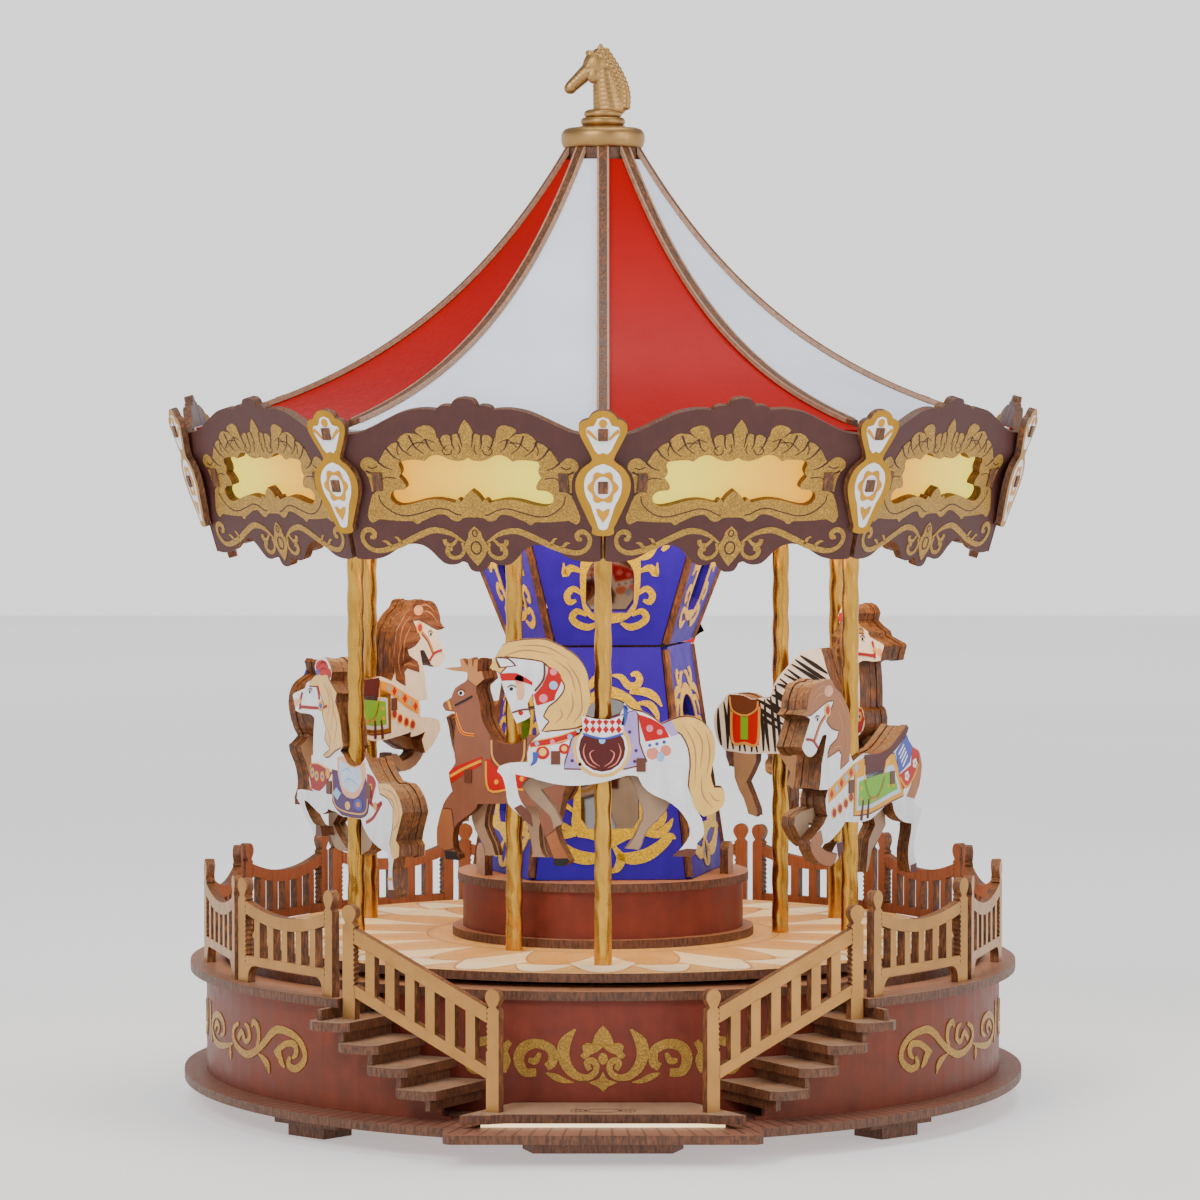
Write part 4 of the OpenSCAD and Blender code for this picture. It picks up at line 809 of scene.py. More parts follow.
def roof():
    """Ten ribs with scorched sides and ten glossy panels bent between them."""
    ribs = Piece("roof_rib_boards", "rotor", "plywood_tan", [M["edge"], M["rib"]])
    steps, hub, end, post = 56, 11.0, 118.0, 107.0
    canopy_top = 172.5
    top = [(hub + (end - hub) * i / steps) for i in range(steps + 1)]
    under = [(hub + (post - hub) * i / steps) for i in range(steps, -1, -1)]
    outline = ([(-r, roof_z(r)) for r in top] + [(-end + 1.5, canopy_top), (-post - 2, canopy_top)]
               + [(-r, roof_z(r) - roof_depth(r, 5.4)) for r in under])
    welt = [(-r, roof_z(r) + 0.12) for r in top[:-1]] + [(-r,
                                                          roof_z(r) - roof_depth(r,
                                                                                 1.1)) for r in top[-2::-1]]
    for k in range(SIDES):
        matrix = turned(2 * HALF_SIDE * k) @ Matrix.Rotation(math.radians(90), 4, "Z") @ UPRIGHT
        ribs.prism(outline, -PLY / 2, PLY / 2, by_matrix(matrix), 0, 0)
        for low in (-PLY / 2 - 0.5, PLY / 2 - 0.1):
            ribs.prism(welt, low, low + 0.6, by_matrix(matrix), 1, 1)
    ribs.finish(replaces=("roof_ribs",))
    inner, outer, set_down, sheet, rows, across = 12.0, 117.5, 1.2, 1.0, 64, 6
    rib_gap = (PLY / 2 + 0.1) / math.cos(math.radians(HALF_SIDE))
    for first, key, slot in ((1, "roof_white", "roof_panels_white"), (0, "roof_red", "roof_panels_red")):
        panel = Piece(slot.replace("roof_panels", "roof_sheets"), "rotor", key, [M[key]])
        for k in range(first, SIDES, 2):
            turn = turned(HALF_SIDE + 2 * HALF_SIDE * k)
            grid = []
            for i in range(rows + 1):
                a = inner + (outer - inner) * i / rows
                r = a / math.cos(math.radians(HALF_SIDE))
                half = a * math.tan(math.radians(HALF_SIDE)) - rib_gap
                z = roof_z(r) - set_down
                ring = [turn @ Vector((half * (2 * j / across - 1), -a, z)) for j in range(across + 1)]
                ring += [turn @ Vector((half * (2 * j / across - 1), -a, z - roof_depth(r, sheet)))
                         for j in range(across, -1, -1)]
                grid.append(ring)
            panel.rings(grid)
        panel.finish(shade=40, replaces=(slot,))


# ------------------------------------------------------------------ finial

def finial():
    """Cast cap: rounded ring, two collars and a horse's head with a beaded mane."""
    cap = Piece("finial_cap", "rotor", "finial_gold", [M["finial"]])
    base_z = 278.5
    profile = ([(0.02, 0), (11.2, 0)] + smooth([(11.8, 0.5), (12.2, 1.8), (12.3, 3), (12.1, 4.4),
                                                (11.3, 5.5), (10, 6)])
               + [(7.4, 6), (6.6, 6.5)] + arc((5.2, 7.8), 1.35, -60, 60, 8) + [(4.9, 9.2)]
               + arc((4.5, 10.1), 1.1, -55, 55, 8) + [(4.2, 11.4), (0.02, 11.4)])
    cap.rings([[Vector((r * math.cos(2 * math.pi * i / 64), r * math.sin(2 * math.pi * i / 64), base_z + z))
                for i in range(64)] for r, z in profile])
    cap.finish(shade=50, replaces=("finial",))
    parts = bmesh.new()

    def lump(x, y, z, rx, ry, rz, tilt=0.0):
        matrix = (moved(x * MM, (y + AXIS_Y) * MM, z * MM) @ Matrix.Rotation(math.radians(tilt), 4, "Y")
                  @ Matrix.Diagonal((rx * MM, ry * MM, rz * MM, 1)))
        bmesh.ops.create_uvsphere(parts, u_segments=20, v_segments=14, radius=1, matrix=matrix)

    neck_z = base_z + 11
    for i in range(9):
        t = i / 8
        lump(1.9 - 1.6 * t, 0, neck_z + 0.6 + 10.5 * t, 4.9 - 1.5 * t, 3.9 - 0.9 * t, 2.6)
    lump(-2.0, 0, neck_z + 13.4, 4.0, 3.1, 4.2, 20)
    for i in range(7):
        t = i / 6
        lump(-3.6 - 5.6 * t, 0, neck_z + 12.4 - 5.2 * t, 2.9 - 0.9 * t, 2.6 - 0.8 * t, 2.5 - 0.6 * t, -40)
    lump(-9.6, 0, neck_z + 6.6, 1.9, 1.8, 1.7)
    for side in (-1, 1):
        lump(-0.9, side * 1.7, neck_z + 17.8, 0.9, 0.6, 2.0, 12)
        lump(-4.6, side * 2.3, neck_z + 12.9, 0.7, 0.35, 0.6)
        lump(-10.4, side * 1.2, neck_z + 7.3, 0.4, 0.35, 0.4)
        lump(-2.6, side * 2.1, neck_z + 10.2, 2.2, 1.2, 2.2)
    lump(-3.0, 0, neck_z + 16.3, 2.4, 1.7, 1.3, 28)
    for i in range(13):
        t = i / 12
        x = 0.8 + 6.0 * math.sin(math.pi * 0.58 * t)
        z = neck_z + 17.6 - 16.4 * t
        for side in (-1, 1):
            lump(x, side * (0.9 + 0.5 * t), z, 1.25 + 0.3 * t, 1.15, 1.0)
        lump(x - 1.8, 0, z - 0.3, 1.9, 2.7, 1.2)
    mesh = bpy.data.meshes.new("finial_horse_head")
    parts.to_mesh(mesh)
    parts.free()
    head = bpy.data.objects.new("finial_horse_head", mesh)
    bpy.context.collection.objects.link(head)
    remesh = head.modifiers.new("remesh", "REMESH")
    remesh.mode = "VOXEL"
    remesh.voxel_size = 0.28 * MM
    soften = head.modifiers.new("soften", "SMOOTH")
    soften.iterations = 2
    settle(head)
    head.data.materials.append(M["finial"])
    head.data.shade_smooth()
    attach(head, "rotor")


def settle(piece):
    """Applies the modifiers of a piece."""
    graph = bpy.context.evaluated_depsgraph_get()
    done = bpy.data.meshes.new_from_object(piece.evaluated_get(graph))
    piece.modifiers.clear()
    piece.data = done


# ------------------------------------------------------------------ tower

TOWER_SIDES = 5
TOWER_HALF = 180 / TOWER_SIDES
# Corner radius and height of each level's lower and upper edge
TOWER_LEVELS = {"low": (39.5, 65.7, 28.5, 133.0), "high": (28.5, 133.0, 44.0, 170.0)}
TOWER_PHASE = 4                   # degrees that the tower stands turned from the canopy


def tower_place(level, k):
    r0, z0, r1, z1 = TOWER_LEVELS[level]
    a0, a1 = (r * math.cos(math.radians(TOWER_HALF)) for r in (r0, r1))
    lean = math.atan((a1 - a0) / (z1 - z0))
    slant = (z1 - z0) / math.cos(lean)
    matrix = (turned(TOWER_PHASE + 2 * TOWER_HALF * k) @ moved(0, -a0, z0) @ Matrix.Rotation(lean, 4, "X")
              @ UPRIGHT @ moved(0, slant / 2, 0))
    return by_matrix(matrix)


def arched(w, h):
    """Round-topped opening with small corners cut off at its foot."""
    half = ([(0, -h / 2), (w / 2 - 2, -h / 2), (w / 2, -h / 2 + 3)]
            + arc((0, h / 2 - w / 2), w / 2, 0, 90, 8))
    return both_halves(half)


def tower_scrolls():
    """Bright glitter scrollwork round the mirrors."""
    gold = Piece("tower_scrolls", "rotor", "tower_blue", [M["glitter_bright"], M["blue"]])
    low_window, high_window = arched(17, 38), arched(14, 18)
    rim = closed(both_halves([(0, 22.4), (3.4, 21.4), (6.8, 19.2), (9.6, 15.4), (10.6, 10), (10.4, 2),
                              (10.2, -6), (10.8, -13), (11.2, -18), (9.4, -21.4), (5.6, -22),
                              (2.6, -23.4), (0, -24.6)]))
    high_rim = closed(both_halves([(0, 11.6), (4, 11.8), (7, 10.8), (8.6, 7.4), (8.8, 2), (8.4, -4),
                                   (7.2, -8.6), (4.4, -11.2), (0, -12.2)]))
    low_swirls = [
        stroke([(1, 25.6), (3.6, 25), (5.6, 22.6), (8, 22.6), (9, 24.4), (8, 26), (6.4, 25.6)],
               [0.6, 1.8, 2.2, 2.2, 2, 1.8, 0.9]),
        stroke([(6, 20.6), (10, 20.8), (13.2, 19.4), (15.4, 16.4)], [1.0, 2.4, 2.2, 0.4]),
        stroke([(8.4, 17.4), (11.6, 17.2), (13.6, 14.8), (14.4, 12.2)], [0.8, 2.0, 1.8, 0.4]),
        stroke([(10.4, 10), (13.4, 11), (15.4, 9), (14.6, 6.4), (12.8, 6.8)], [0.8, 1.8, 1.8, 1.6, 0.8]),
        stroke([(10.6, -14), (13.4, -12), (15.4, -14), (15, -17), (12.6, -18.6), (10, -19.4)],
               [0.8, 1.8, 2, 2, 1.8, 0.8]),
        stroke([(10, -20.4), (14, -20.6), (16.8, -18.4), (18.2, -16)], [1.4, 2.4, 2.0, 0.3]),
        stroke([(2, -26.8), (6, -27.6), (10.6, -26.6), (14.6, -24), (17.4, -21.4), (19, -22)],
               [1.6, 3.6, 3.8, 3.2, 2.4, 0.4]),
        stroke([(0.8, -24), (3, -27.4), (2, -30.4), (0, -31.6)], [1.0, 2.6, 2.2, 0.8]),
    ]
    high_swirls = [
        stroke([(8.2, 8), (10.8, 9), (12.6, 12.2), (14.8, 13.4), (16, 11.8), (14.8, 10.4)],
               [1.2, 2.4, 2.6, 2.2, 2, 1.0]),
        stroke([(8.6, 4), (11.6, 5), (13.2, 3), (13.6, 6.6)], [1.0, 2.2, 1.8, 0.4]),
        stroke([(8.2, -3), (10.6, -1.4), (12.4, -3.4), (11.6, -5.6), (9.8, -5)], [1.0, 1.8, 2, 1.8, 0.8]),
        stroke([(6.6, -9.6), (9.4, -8.4), (10.8, -10.4), (9.2, -12.4), (6, -13.4), (3.4, -12)],
               [1.0, 1.8, 2, 2, 2, 0.8]),
    ]
    for k in range(TOWER_SIDES):
        for level, window, outline, swirls in (("low", low_window, rim, low_swirls),
                                               ("high", high_window, high_rim, high_swirls)):
            place = tower_place(level, k)
            gold.prism(outline, 0, 0.3, place, 0, 0, [window])
            for strip in swirls:
                for flip in (False, True):
                    gold.ribbon(mirrored_strip(strip) if flip else strip, 0, 0.26, place)
    gold.finish()
    tabs = Piece("tower_foot_tabs", "rotor", "plywood_edge", [M["rib"], M["edge"]])
    for k in range(1, TOWER_SIDES):
        matrix = turned(TOWER_PHASE + 2 * TOWER_HALF * k) @ moved(0, -36.2, 65.7) @ UPRIGHT
        tab = [(-3.4, 0), (3.4, 0), (3.4, 6)] + arc((0, 6), 3.4, 0, 180, 10)[1:-1] + [(-3.4, 6)]
        tabs.prism(tab, 0, PLY, by_matrix(matrix), 0, 1)
    tabs.finish()


# ------------------------------------------------------------------ poles

def pole_place(node):
    """Axis x and y, foot and top of a pole of the CAD frame."""
    low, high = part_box(node)
    return ((low[0] + high[0]) / 2 / MM, (low[1] + high[1]) / 2 / MM - AXIS_Y, low[2] / MM, high[2] / MM)


def poles():
    """Twisted gold rods; the lowest stretch runs plain through the turntable."""
    plain, blend_run, around, pitch, steps = 22.1, 3.0, 28, 21.0, 260
    for i in range(1, 10):
        node = "pole_%d" % i
        x, y, bottom, top = pole_place(node)
        rod = Piece("twisted_" + node, frame_body(node), "pole_gold", [M["gold"]])
        rows = []
        for s in range(steps + 1):
            z = bottom + (top - bottom) * s / steps
            blend = min(1.0, max(0.0, (z - (bottom + plain)) / blend_run))
            ring = []
            for j in range(around):
                a = 2 * math.pi * j / around
                wave = 0.5 + 0.5 * math.cos(2 * (a + 2 * math.pi * z / pitch))
                radius = 2.5 - 0.24 * blend * (1 - wave) ** 1.3
                ring.append(Vector((x + radius * math.cos(a), y + radius * math.sin(a), z)))
            rows.append(ring)
        rod.rings(rows)
        rod.finish(shade=60, replaces=(node,))


def frame_body(node):
    for body, nodes in RECORD["behaviour"]["bodies"].items():
        if node in nodes:
            return body
    raise ValueError(node)


# ------------------------------------------------------------------ base

DRUM_R, DRUM_FRONT = 117.0, 129.0
DRUM_MEAN_R = 121.0               # turns a length along the oval wall into an angle
RISER_R = 109.5
SKIN_GAP = 0.02                   # keeps a print off the wall that it lies on


def oval_point(side, front, phi):
    if abs(phi) >= 90:
        return front_point(side, phi)
    t = math.radians(phi)
    r = 1 / math.sqrt((math.sin(t) / side) ** 2 + (math.cos(t) / front) ** 2)
    return front_point(r, phi)


def on_drum(phi_mid, side):
    """Bends a drawing round the drum wall, with x along the wall from phi_mid."""
    def place(x, z, h):
        phi = phi_mid + side * math.degrees(x / DRUM_MEAN_R)
        px, py = oval_point(DRUM_R + h + SKIN_GAP, DRUM_FRONT + h + SKIN_GAP, phi)
        return Vector((px, py, z))
    return place


def on_riser(x, z, h):
    px, py = front_point(RISER_R + SKIN_GAP + h, math.degrees(x / RISER_R))
    return Vector((px, py, z))


def base_ornament():
    """Gold scrolls on the drum wall and the palmette on the front riser."""
    drum = Piece("drum_scrolls", "base", "drum_sheet", [M["glitter"]])
    swirls = [
        stroke([(7, 21.8), (8.1, 19.5), (4.9, 18.6), (1.6, 20.4), (0.5, 23), (2.2, 26), (5.9, 28.1),
                (12.4, 28.9),
                (16.7, 27.2), (20, 24.6), (24.4, 21.9), (30.5, 19.8), (36.7, 20.4), (41.4, 22.7),
                (41.4, 25.9),
                (37.5, 27.8)], [1.2, 1.9, 2.1, 2, 1.9, 1.9, 2, 2.2, 2.3, 2.1, 2.1, 2.2, 2, 1.9, 1.7, 1.1]),
        stroke([(14.4, 21.4), (12.4, 23.4), (9, 25.2), (5.2, 25.4), (4.4, 23), (6.2, 21.4)],
               [2.8, 2, 1.8, 2, 1.9, 0.8]),
        stroke([(12.6, 22.2), (11.6, 20), (9.8, 18.4)], [2.0, 2.2, 0.6]),
        stroke([(24.2, 20.8), (21, 19.6), (18.8, 18.2), (17.8, 15.8)], [0.4, 1.8, 2.2, 0.4]),
        stroke([(25.2, 22.4), (23.8, 25.4), (24.6, 28.4), (27.2, 29.4), (28, 27.8)],
               [1.0, 1.7, 1.9, 1.7, 0.7]),
        stroke([(38, 23.2), (35.2, 25.6), (32.4, 23.2), (29.8, 24.6), (30.6, 27.4), (33, 28.2)],
               [1.6, 1.9, 1.6, 1.8, 1.6, 0.8]),
        stroke([(44.4, 20.6), (44.6, 18.6), (44.0, 16.6)], [0.8, 2.2, 0.3]),
        stroke([(42, 21.6), (46, 20.6), (51, 19.8), (57, 19.4), (63, 20.4), (66.4, 23.4), (63.6, 26.6),
                (57, 28),
                (51.6, 26.6), (50.8, 23.6), (54.6, 22.2)], [0.6, 1.4, 1.8, 2, 2, 2, 2, 2, 1.8, 1.6, 0.8]),
        stroke([(62.4, 23.2), (59.4, 25.4), (56.2, 24.4), (58.2, 22.4)], [1.6, 1.9, 1.6, 0.6]),
        stroke([(67, 19), (69.4, 22.6), (70.2, 27), (69.6, 30.6)], [0.8, 1.9, 1.9, 0.3]),
    ]
    for side in (-1, 1):
        for phi, way in ((42, 1), (111.5, -1)):
            place = on_drum(side * phi, side * way)
            for strip in swirls:
                drum.ribbon(strip, 0, 0.2, place)
    drum.finish()
    riser = Piece("riser_palmette", "base", "drum_sheet", [M["glitter"]])
    fleur = both_halves([(0, 33.6)] + smooth([(1.0, 32.6), (2.2, 30.8), (3.0, 28.5)])
                        + smooth([(4.4, 28.8), (5.7, 27.8), (5.3, 26.4)])
                        + [(6.2, 25.2), (5.2, 24.3), (4.4, 24.5)]
                        + smooth([(3.4, 25.6), (2.4, 25.9), (1.4, 26.4), (0, 27.7)]))
    foot = both_halves([(0, 20.8)] + smooth([(0.6, 19.6), (1.5, 18.6), (4.1, 17.9)])
                       + smooth([(2.6, 17.2), (1.4, 16.6), (0, 15.2)]))
    for outline in (fleur, foot, ellipse(0, 24.4, 1.3, 1.6)):
        riser.prism(outline, 0, 0.2, on_riser)
    leaves = []
    for side in (-1, 1):
        for path, widths in (
                ([(3.6, 21.3), (4.4, 23.2), (3, 23.9), (1.8, 22.5), (2.3, 20.4), (4.3, 19.2), (7.2, 19.6),
                  (9.7, 22),
                  (10.9, 25.5), (10.3, 29), (7.6, 32.5)], [1.3, 1.8, 1.8, 1.7, 1.7, 1.8, 2.2, 2.9, 3.3, 3.2,
                                                           0.5]),
                ([(15.7, 20.3), (13.2, 19.3), (10.8, 18.3), (8.1, 17.8)], [0.4, 1.8, 1.4, 0.3]),
                ([(15.6, 21.9), (13.9, 23.4), (14.3, 26.8), (18.1, 28.4), (21.9, 27.2), (23.3, 24),
                  (21.8, 20.6),
                  (18.4, 20.4)], [2.2, 2.6, 2.6, 2.6, 3, 3, 2.6, 2.2]),
                ([(17.4, 25.8), (18.6, 23.6), (20.6, 23.8)], [1.0, 2.0, 1.2]),
                ([(25.8, 28.8), (27.6, 26), (26.6, 23.4), (27.6, 20.2)], [1.6, 2.4, 2.0, 1.4]),
                ([(28.4, 27.6), (32, 28.8), (36.6, 27.4), (38.4, 23.8), (36.4, 20.6), (33, 20.8)],
                 [2.0, 2.4, 2.6, 2.6, 2.4, 2.0])):
            leaves.append(stroke([(side * x, z) for x, z in path], widths))
    for strip in leaves:
        riser.ribbon(strip, 0, 0.2, on_riser)
    riser.finish()


RAIL_START = (-72.9, -104.0)      # top end of the left railing
RAIL_DOWN = (0.8643, -0.5031)     # its direction towards the landing
POST_W, POST_H, BALL_R, SCALLOP = 4.0, 29.5, 2.3, 1.4


def post_outline(z0, height, scallops):
    top = z0 + height - 2 * BALL_R
    points = [(0, z0), (0, top - 1.2), (0.9, top - 0.4)]
    points += arc((POST_W / 2, z0 + height - BALL_R), BALL_R, 215, -35, 14)
    points += [(POST_W - 0.9, top - 0.4), (POST_W, top - 1.2)]
    for k in range(scallops + 1):
        start = top - 1.4 - k * SCALLOP
        for s in range(5):
            points.append((POST_W - 0.5 * math.sin(math.pi * s / 5), start - SCALLOP * s / 5))
    points += [(POST_W, top - 1.4 - (scallops + 1) * SCALLOP), (POST_W, z0)]
    return points


def shifted(outline, dx, flip=False):
    return [(dx - x if flip else dx + x, z) for x, z in outline]


def fence_boards():
    """Six boards on each side, from the stairs round to the back."""
    posts = [(72.9, -104), (103, -63.5), (116, -14), (110, 36), (86, 78), (47, 106), (0, 116)]
    trim, walk_z, bars, bar_w = 1.3, 40.5, 5, 2.8
    for side, name in ((-1, "left"), (1, "right")):
        piece = Piece(name + "_fence", "base", "gold_board", [M["gold_board"], M["board_wood"],
                                                              M["edge_light"]])
        for p, q in zip(posts, posts[1:]):
            a, b = Vector((side * p[0], p[1])), Vector((side * q[0], q[1]))
            along = (b - a).normalized()
            chord = (b - a).length - 2 * trim
            start = a + along * trim
            outward = Vector((along.y, -along.x))
            if outward.dot(a + b) < 0:
                outward = -outward

            def place(x, z, h, start=start, along=along, outward=outward):
                flat = start + along * x + outward * h
                return Vector((flat.x, flat.y, walk_z + z))

            inner = chord - 2 * POST_W
            gap = (inner - bars * bar_w) / (bars + 1)

            def rail_z(x):
                return 23 - 3.2 * (1 - (2 * x / inner - 1) ** 2)

            solids = [post_outline(0, POST_H, 12), shifted(post_outline(0, POST_H, 12), chord, True)]
            xs = [-0.2 + (inner + 0.4) * i / 16 for i in range(17)]
            solids.append([(POST_W + x, rail_z(x)) for x in xs]
                          + [(POST_W + x, rail_z(x) - 3.5) for x in xs[::-1]])
            solids.append(rect(POST_W - 0.2, 5, chord - POST_W + 0.2, 7.6))
            for i in range(1, bars + 1):
                x = POST_W + i * gap + (i - 1) * bar_w
                top = rail_z(x - POST_W + bar_w / 2) - 3.3
                solids.append(rect(x, 7.4, x + bar_w, top))
            for flip in (False, True):
                foot = [(POST_W - 0.2, 0), (5, 0)] + arc((8.5, 1.5), 3.5, 180, 96, 6) + [(8.5, 5.2),
                                                                                         (POST_W - 0.2, 5.2)]
                solids.append(shifted(foot, chord, True) if flip else foot)
            for solid in solids:
                gilded(piece, solid, place)
        piece.finish(bevel=0.1, replaces=(name + "_fence_boards",))


def gilded(piece, outline, place):
    """Board with gold on its outer face, wood on its inner face and scorched edges."""
    piece.prism(outline, -PLY / 2, PLY / 2, place, 0, 2, (), 1)


def stair_rails():
    """Sloping railings with their newel posts, one on each flight."""
    length = 49.65
    bars, bar_w, start = 6, 3.0, 2.2
    tread_top, landing = 34.9, 12.6
    newel_x = length - 1.2
    inner = start + POST_W
    gap = (newel_x - inner - bars * bar_w) / (bars + 1)

    def hand(x):
        """Top of the handrail."""
        return 62.7 + (40.6 - 62.7) * x / length

    def toe(x):
        """Underside of the lower rail."""
        return 43.9 + (21.1 - 43.9) * x / length

    def slope(x0, x1, top, bottom):
        return [(x0, bottom(x0)), (x1, bottom(x1)), (x1, top(x1)), (x0, top(x0))]

    piece = Piece("stair_rails", "base", "gold_board", [M["gold_board"], M["board_wood"], M["edge_light"]])
    for side in (-1, 1):
        def place(x, z, h, side=side):
            px = RAIL_START[0] + RAIL_DOWN[0] * x + RAIL_DOWN[1] * h
            py = RAIL_START[1] + RAIL_DOWN[1] * x - RAIL_DOWN[0] * h
            return Vector((-side * px, py, z))

        solids = [shifted(post_outline(tread_top, 66.5 - tread_top, 11), start),
                  shifted(post_outline(landing, 33.5, 7), newel_x + POST_W, True),
                  slope(inner - 0.2, newel_x + 0.2, hand, lambda x: hand(x) - 4.2),
                  slope(inner - 0.2, newel_x + 0.2, lambda x: toe(x) + 3.4, toe)]
        for i in range(1, bars + 1):
            x = inner + i * gap + (i - 1) * bar_w
            solids.append(slope(x, x + bar_w, lambda x: hand(x) - 4.0, lambda x: toe(x) + 3.2))
        for solid in solids:
            gilded(piece, solid, place)
    piece.finish(bevel=0.1, replaces=("stair_railings",))


def landing_details():
    """Glowing strip below the landing, a painted highlight for the bright gap under it, and the engraved
    ring round the button.
    """
    # painted highlight: this emissive box stands for the bright gap under the landing
    strip = Piece("landing_painted_glow", "base", "diffuser", [M["strip"]])
    strip.box((-33, -133.4, 9.0), (33, -133.1, 10.0))
    strip.finish()
    rim = Piece("button_rim", "base", "plywood_edge", [M["line"]])
    place = by_matrix(moved(0, -127, 12.6))
    rim.prism(ellipse(0, 0, 5.2, 3.4, 32), 0, 0.06, place, 0, 0, [ellipse(0, 0, 4.9, 3.1, 32)])
    for radius in (6.4, 7.6, 8.8):
        for side in (-1, 1):
            path = [(side * radius * math.cos(math.radians(a)), 0.62 * radius * math.sin(math.radians(a)))
                    for a in (-38, -20, 0, 20, 38)]
            rim.ribbon(even(path, 0.22), 0, 0.06, place)
    rim.finish()


# ------------------------------------------------------------------ gallopers

TINTS = {
    "white": (0.86, 0.86, 0.89), "ivory": (0.84, 0.83, 0.85), "cream": (0.84, 0.50, 0.12),
    "sand": (0.82, 0.50, 0.17), "tan": (0.48, 0.23, 0.09), "walnut": (0.38, 0.14, 0.05),
    "rosy": (0.25, 0.095, 0.055), "red": (0.50, 0.002, 0.001), "crimson": (0.33, 0.010, 0.010),
    "maroon": (0.085, 0.008, 0.007), "pink": (0.78, 0.20, 0.26), "salmon": (0.74, 0.22, 0.15),
    "sky": (0.30, 0.50, 0.76), "blue": (0.05, 0.08, 0.42), "lilac": (0.42, 0.30, 0.62),
    "purple": (0.075, 0.022, 0.13), "pale": (0.56, 0.66, 0.80), "peach": (0.80, 0.42, 0.24),
    "yellow": (0.82, 0.36, 0.004), "green": (0.17, 0.46, 0.02), "orange": (0.74, 0.20, 0.004),
    "gold": (0.66, 0.36, 0.08), "brown": (0.13, 0.04, 0.02), "black": (0.018, 0.014, 0.014),
    "dun": (0.36, 0.23, 0.14),
}
PAINT = {name: painted("animal_" + name, color, 0.38, 0.08, 0.03) for name, color in TINTS.items()}
ANIMAL_T = 8.4                    # four glued plies
PLY_T = ANIMAL_T / 4
PLY_GAP = 0.09                    # dark joint left beside every glue line
TUCK = 0.35                       # how far the inner plies stand back
PRINT = 0.05                      # height of one print layer


def inside(point, outline):
    x, z = point
    hit = False
    for (ax, az), (bx, bz) in zip(outline, outline[1:] + outline[:1]):
        if (az > z) != (bz > z) and x < (bx - ax) * (z - az) / (bz - az) + ax:
            hit = not hit
    return hit


def nearest(point, outline):
    best, place = 1e9, point
    p = Vector(point)
    for a, b in zip(outline, outline[1:] + outline[:1]):
        a, b = Vector(a), Vector(b)
        span = (b - a).length_squared
        t = 0 if span < 1e-9 else max(0, min(1, (p - a).dot(b - a) / span))
        q = a + (b - a) * t
        if (p - q).length < best:
            best, place = (p - q).length, tuple(q)
    return best, place


def kept(points, limits):
    """Pulls points that stray past every allowed outline back to the nearest edge."""
    out = []
    for p in points:
        if not any(inside(p, limit) for limit in limits):
            p = min(nearest(p, limit) for limit in limits)[1]
        out.append(p)
    return out


def dot(layer, color, x, z, rx, rz=None):
    return ("fill", layer, color, ellipse(x, z, rx, rz or rx, 16))


def dots(layer, color, radius, spots):
    return [dot(layer, color, x, z, radius) for x, z in spots]


def petals(x, z):
    """Five white petals round a point."""
    turns = [math.pi * 0.4 * i for i in range(5)]
    return [dot(5, "white", x + 0.9 * math.cos(a), z + 0.9 * math.sin(a), 0.6) for a in turns]


def lozenge(layer, color, x, z, half_w, half_h):
    return ("fill", layer, color, [(x, z - half_h), (x + half_w, z), (x, z + half_h), (x - half_w, z)])


def pegs(half_w, spots):
    """Ends of the tenons that hold the plies together."""
    return [("fill", 7, "brown", about(x, z, half_w, 1.9)) for x, z in spots]


def fill(layer, color, points):
    return ("fill", layer, color, closed(points, 2))


def line(layer, color, points, width):
    return ("line", layer, color, even(points, width))


def brush(layer, color, points, widths):
    return ("line", layer, color, stroke(points, widths))


def eye(x, z):
    lid = [(x - 1.2, z + 0.4), (x, z + 1.1), (x + 1.2, z + 0.5)]
    return [dot(4, "white", x, z, 1.0, 0.75), dot(5, "black", x - 0.1, z, 0.55), line(5, "brown", lid, 0.3)]


def hair(color, strands):
    return [brush(3, color, path, [0.1, 0.45, 0.1]) for path in strands]


ARAB_BODY = [(-31.5, 130.5), (-29, 135), (-26.5, 137.5), (-18, 138.4), (-14, 137.5), (-9, 134.8), (-6, 132),
    (-4.3, 128.5), (-4, 125.5), (-3.5, 121.5), (-5.5, 115), (-2, 116.2), (2, 116), (4.5, 117), (6, 120.8),
    (7.5, 119), (11, 118), (13.5, 116.8), (16.5, 114.5), (19.5, 116), (23.5, 116.8), (27.5, 115.5),
    (30.5, 112), (31.3, 109), (31, 105), (30, 100.5), (31, 97), (33, 97), (34, 95), (33.5, 92), (31, 90),
    (28, 89), (25.5, 91.5), (24, 97.5), (16, 98.5), (8.5, 100.5), (5, 100), (1, 98.8), (-4, 97.9),
    (-9, 97.6), (-14, 98.2), (-19, 99.5), (-21, 104), (-20.5, 109), (-17.5, 112), (-18.5, 116),
    (-19, 119.5), (-19.5, 123.5), (-21, 120.5), (-20.2, 117), (-21.5, 116), (-24, 115), (-25, 117),
    (-26, 120), (-27.5, 124), (-29, 129)]
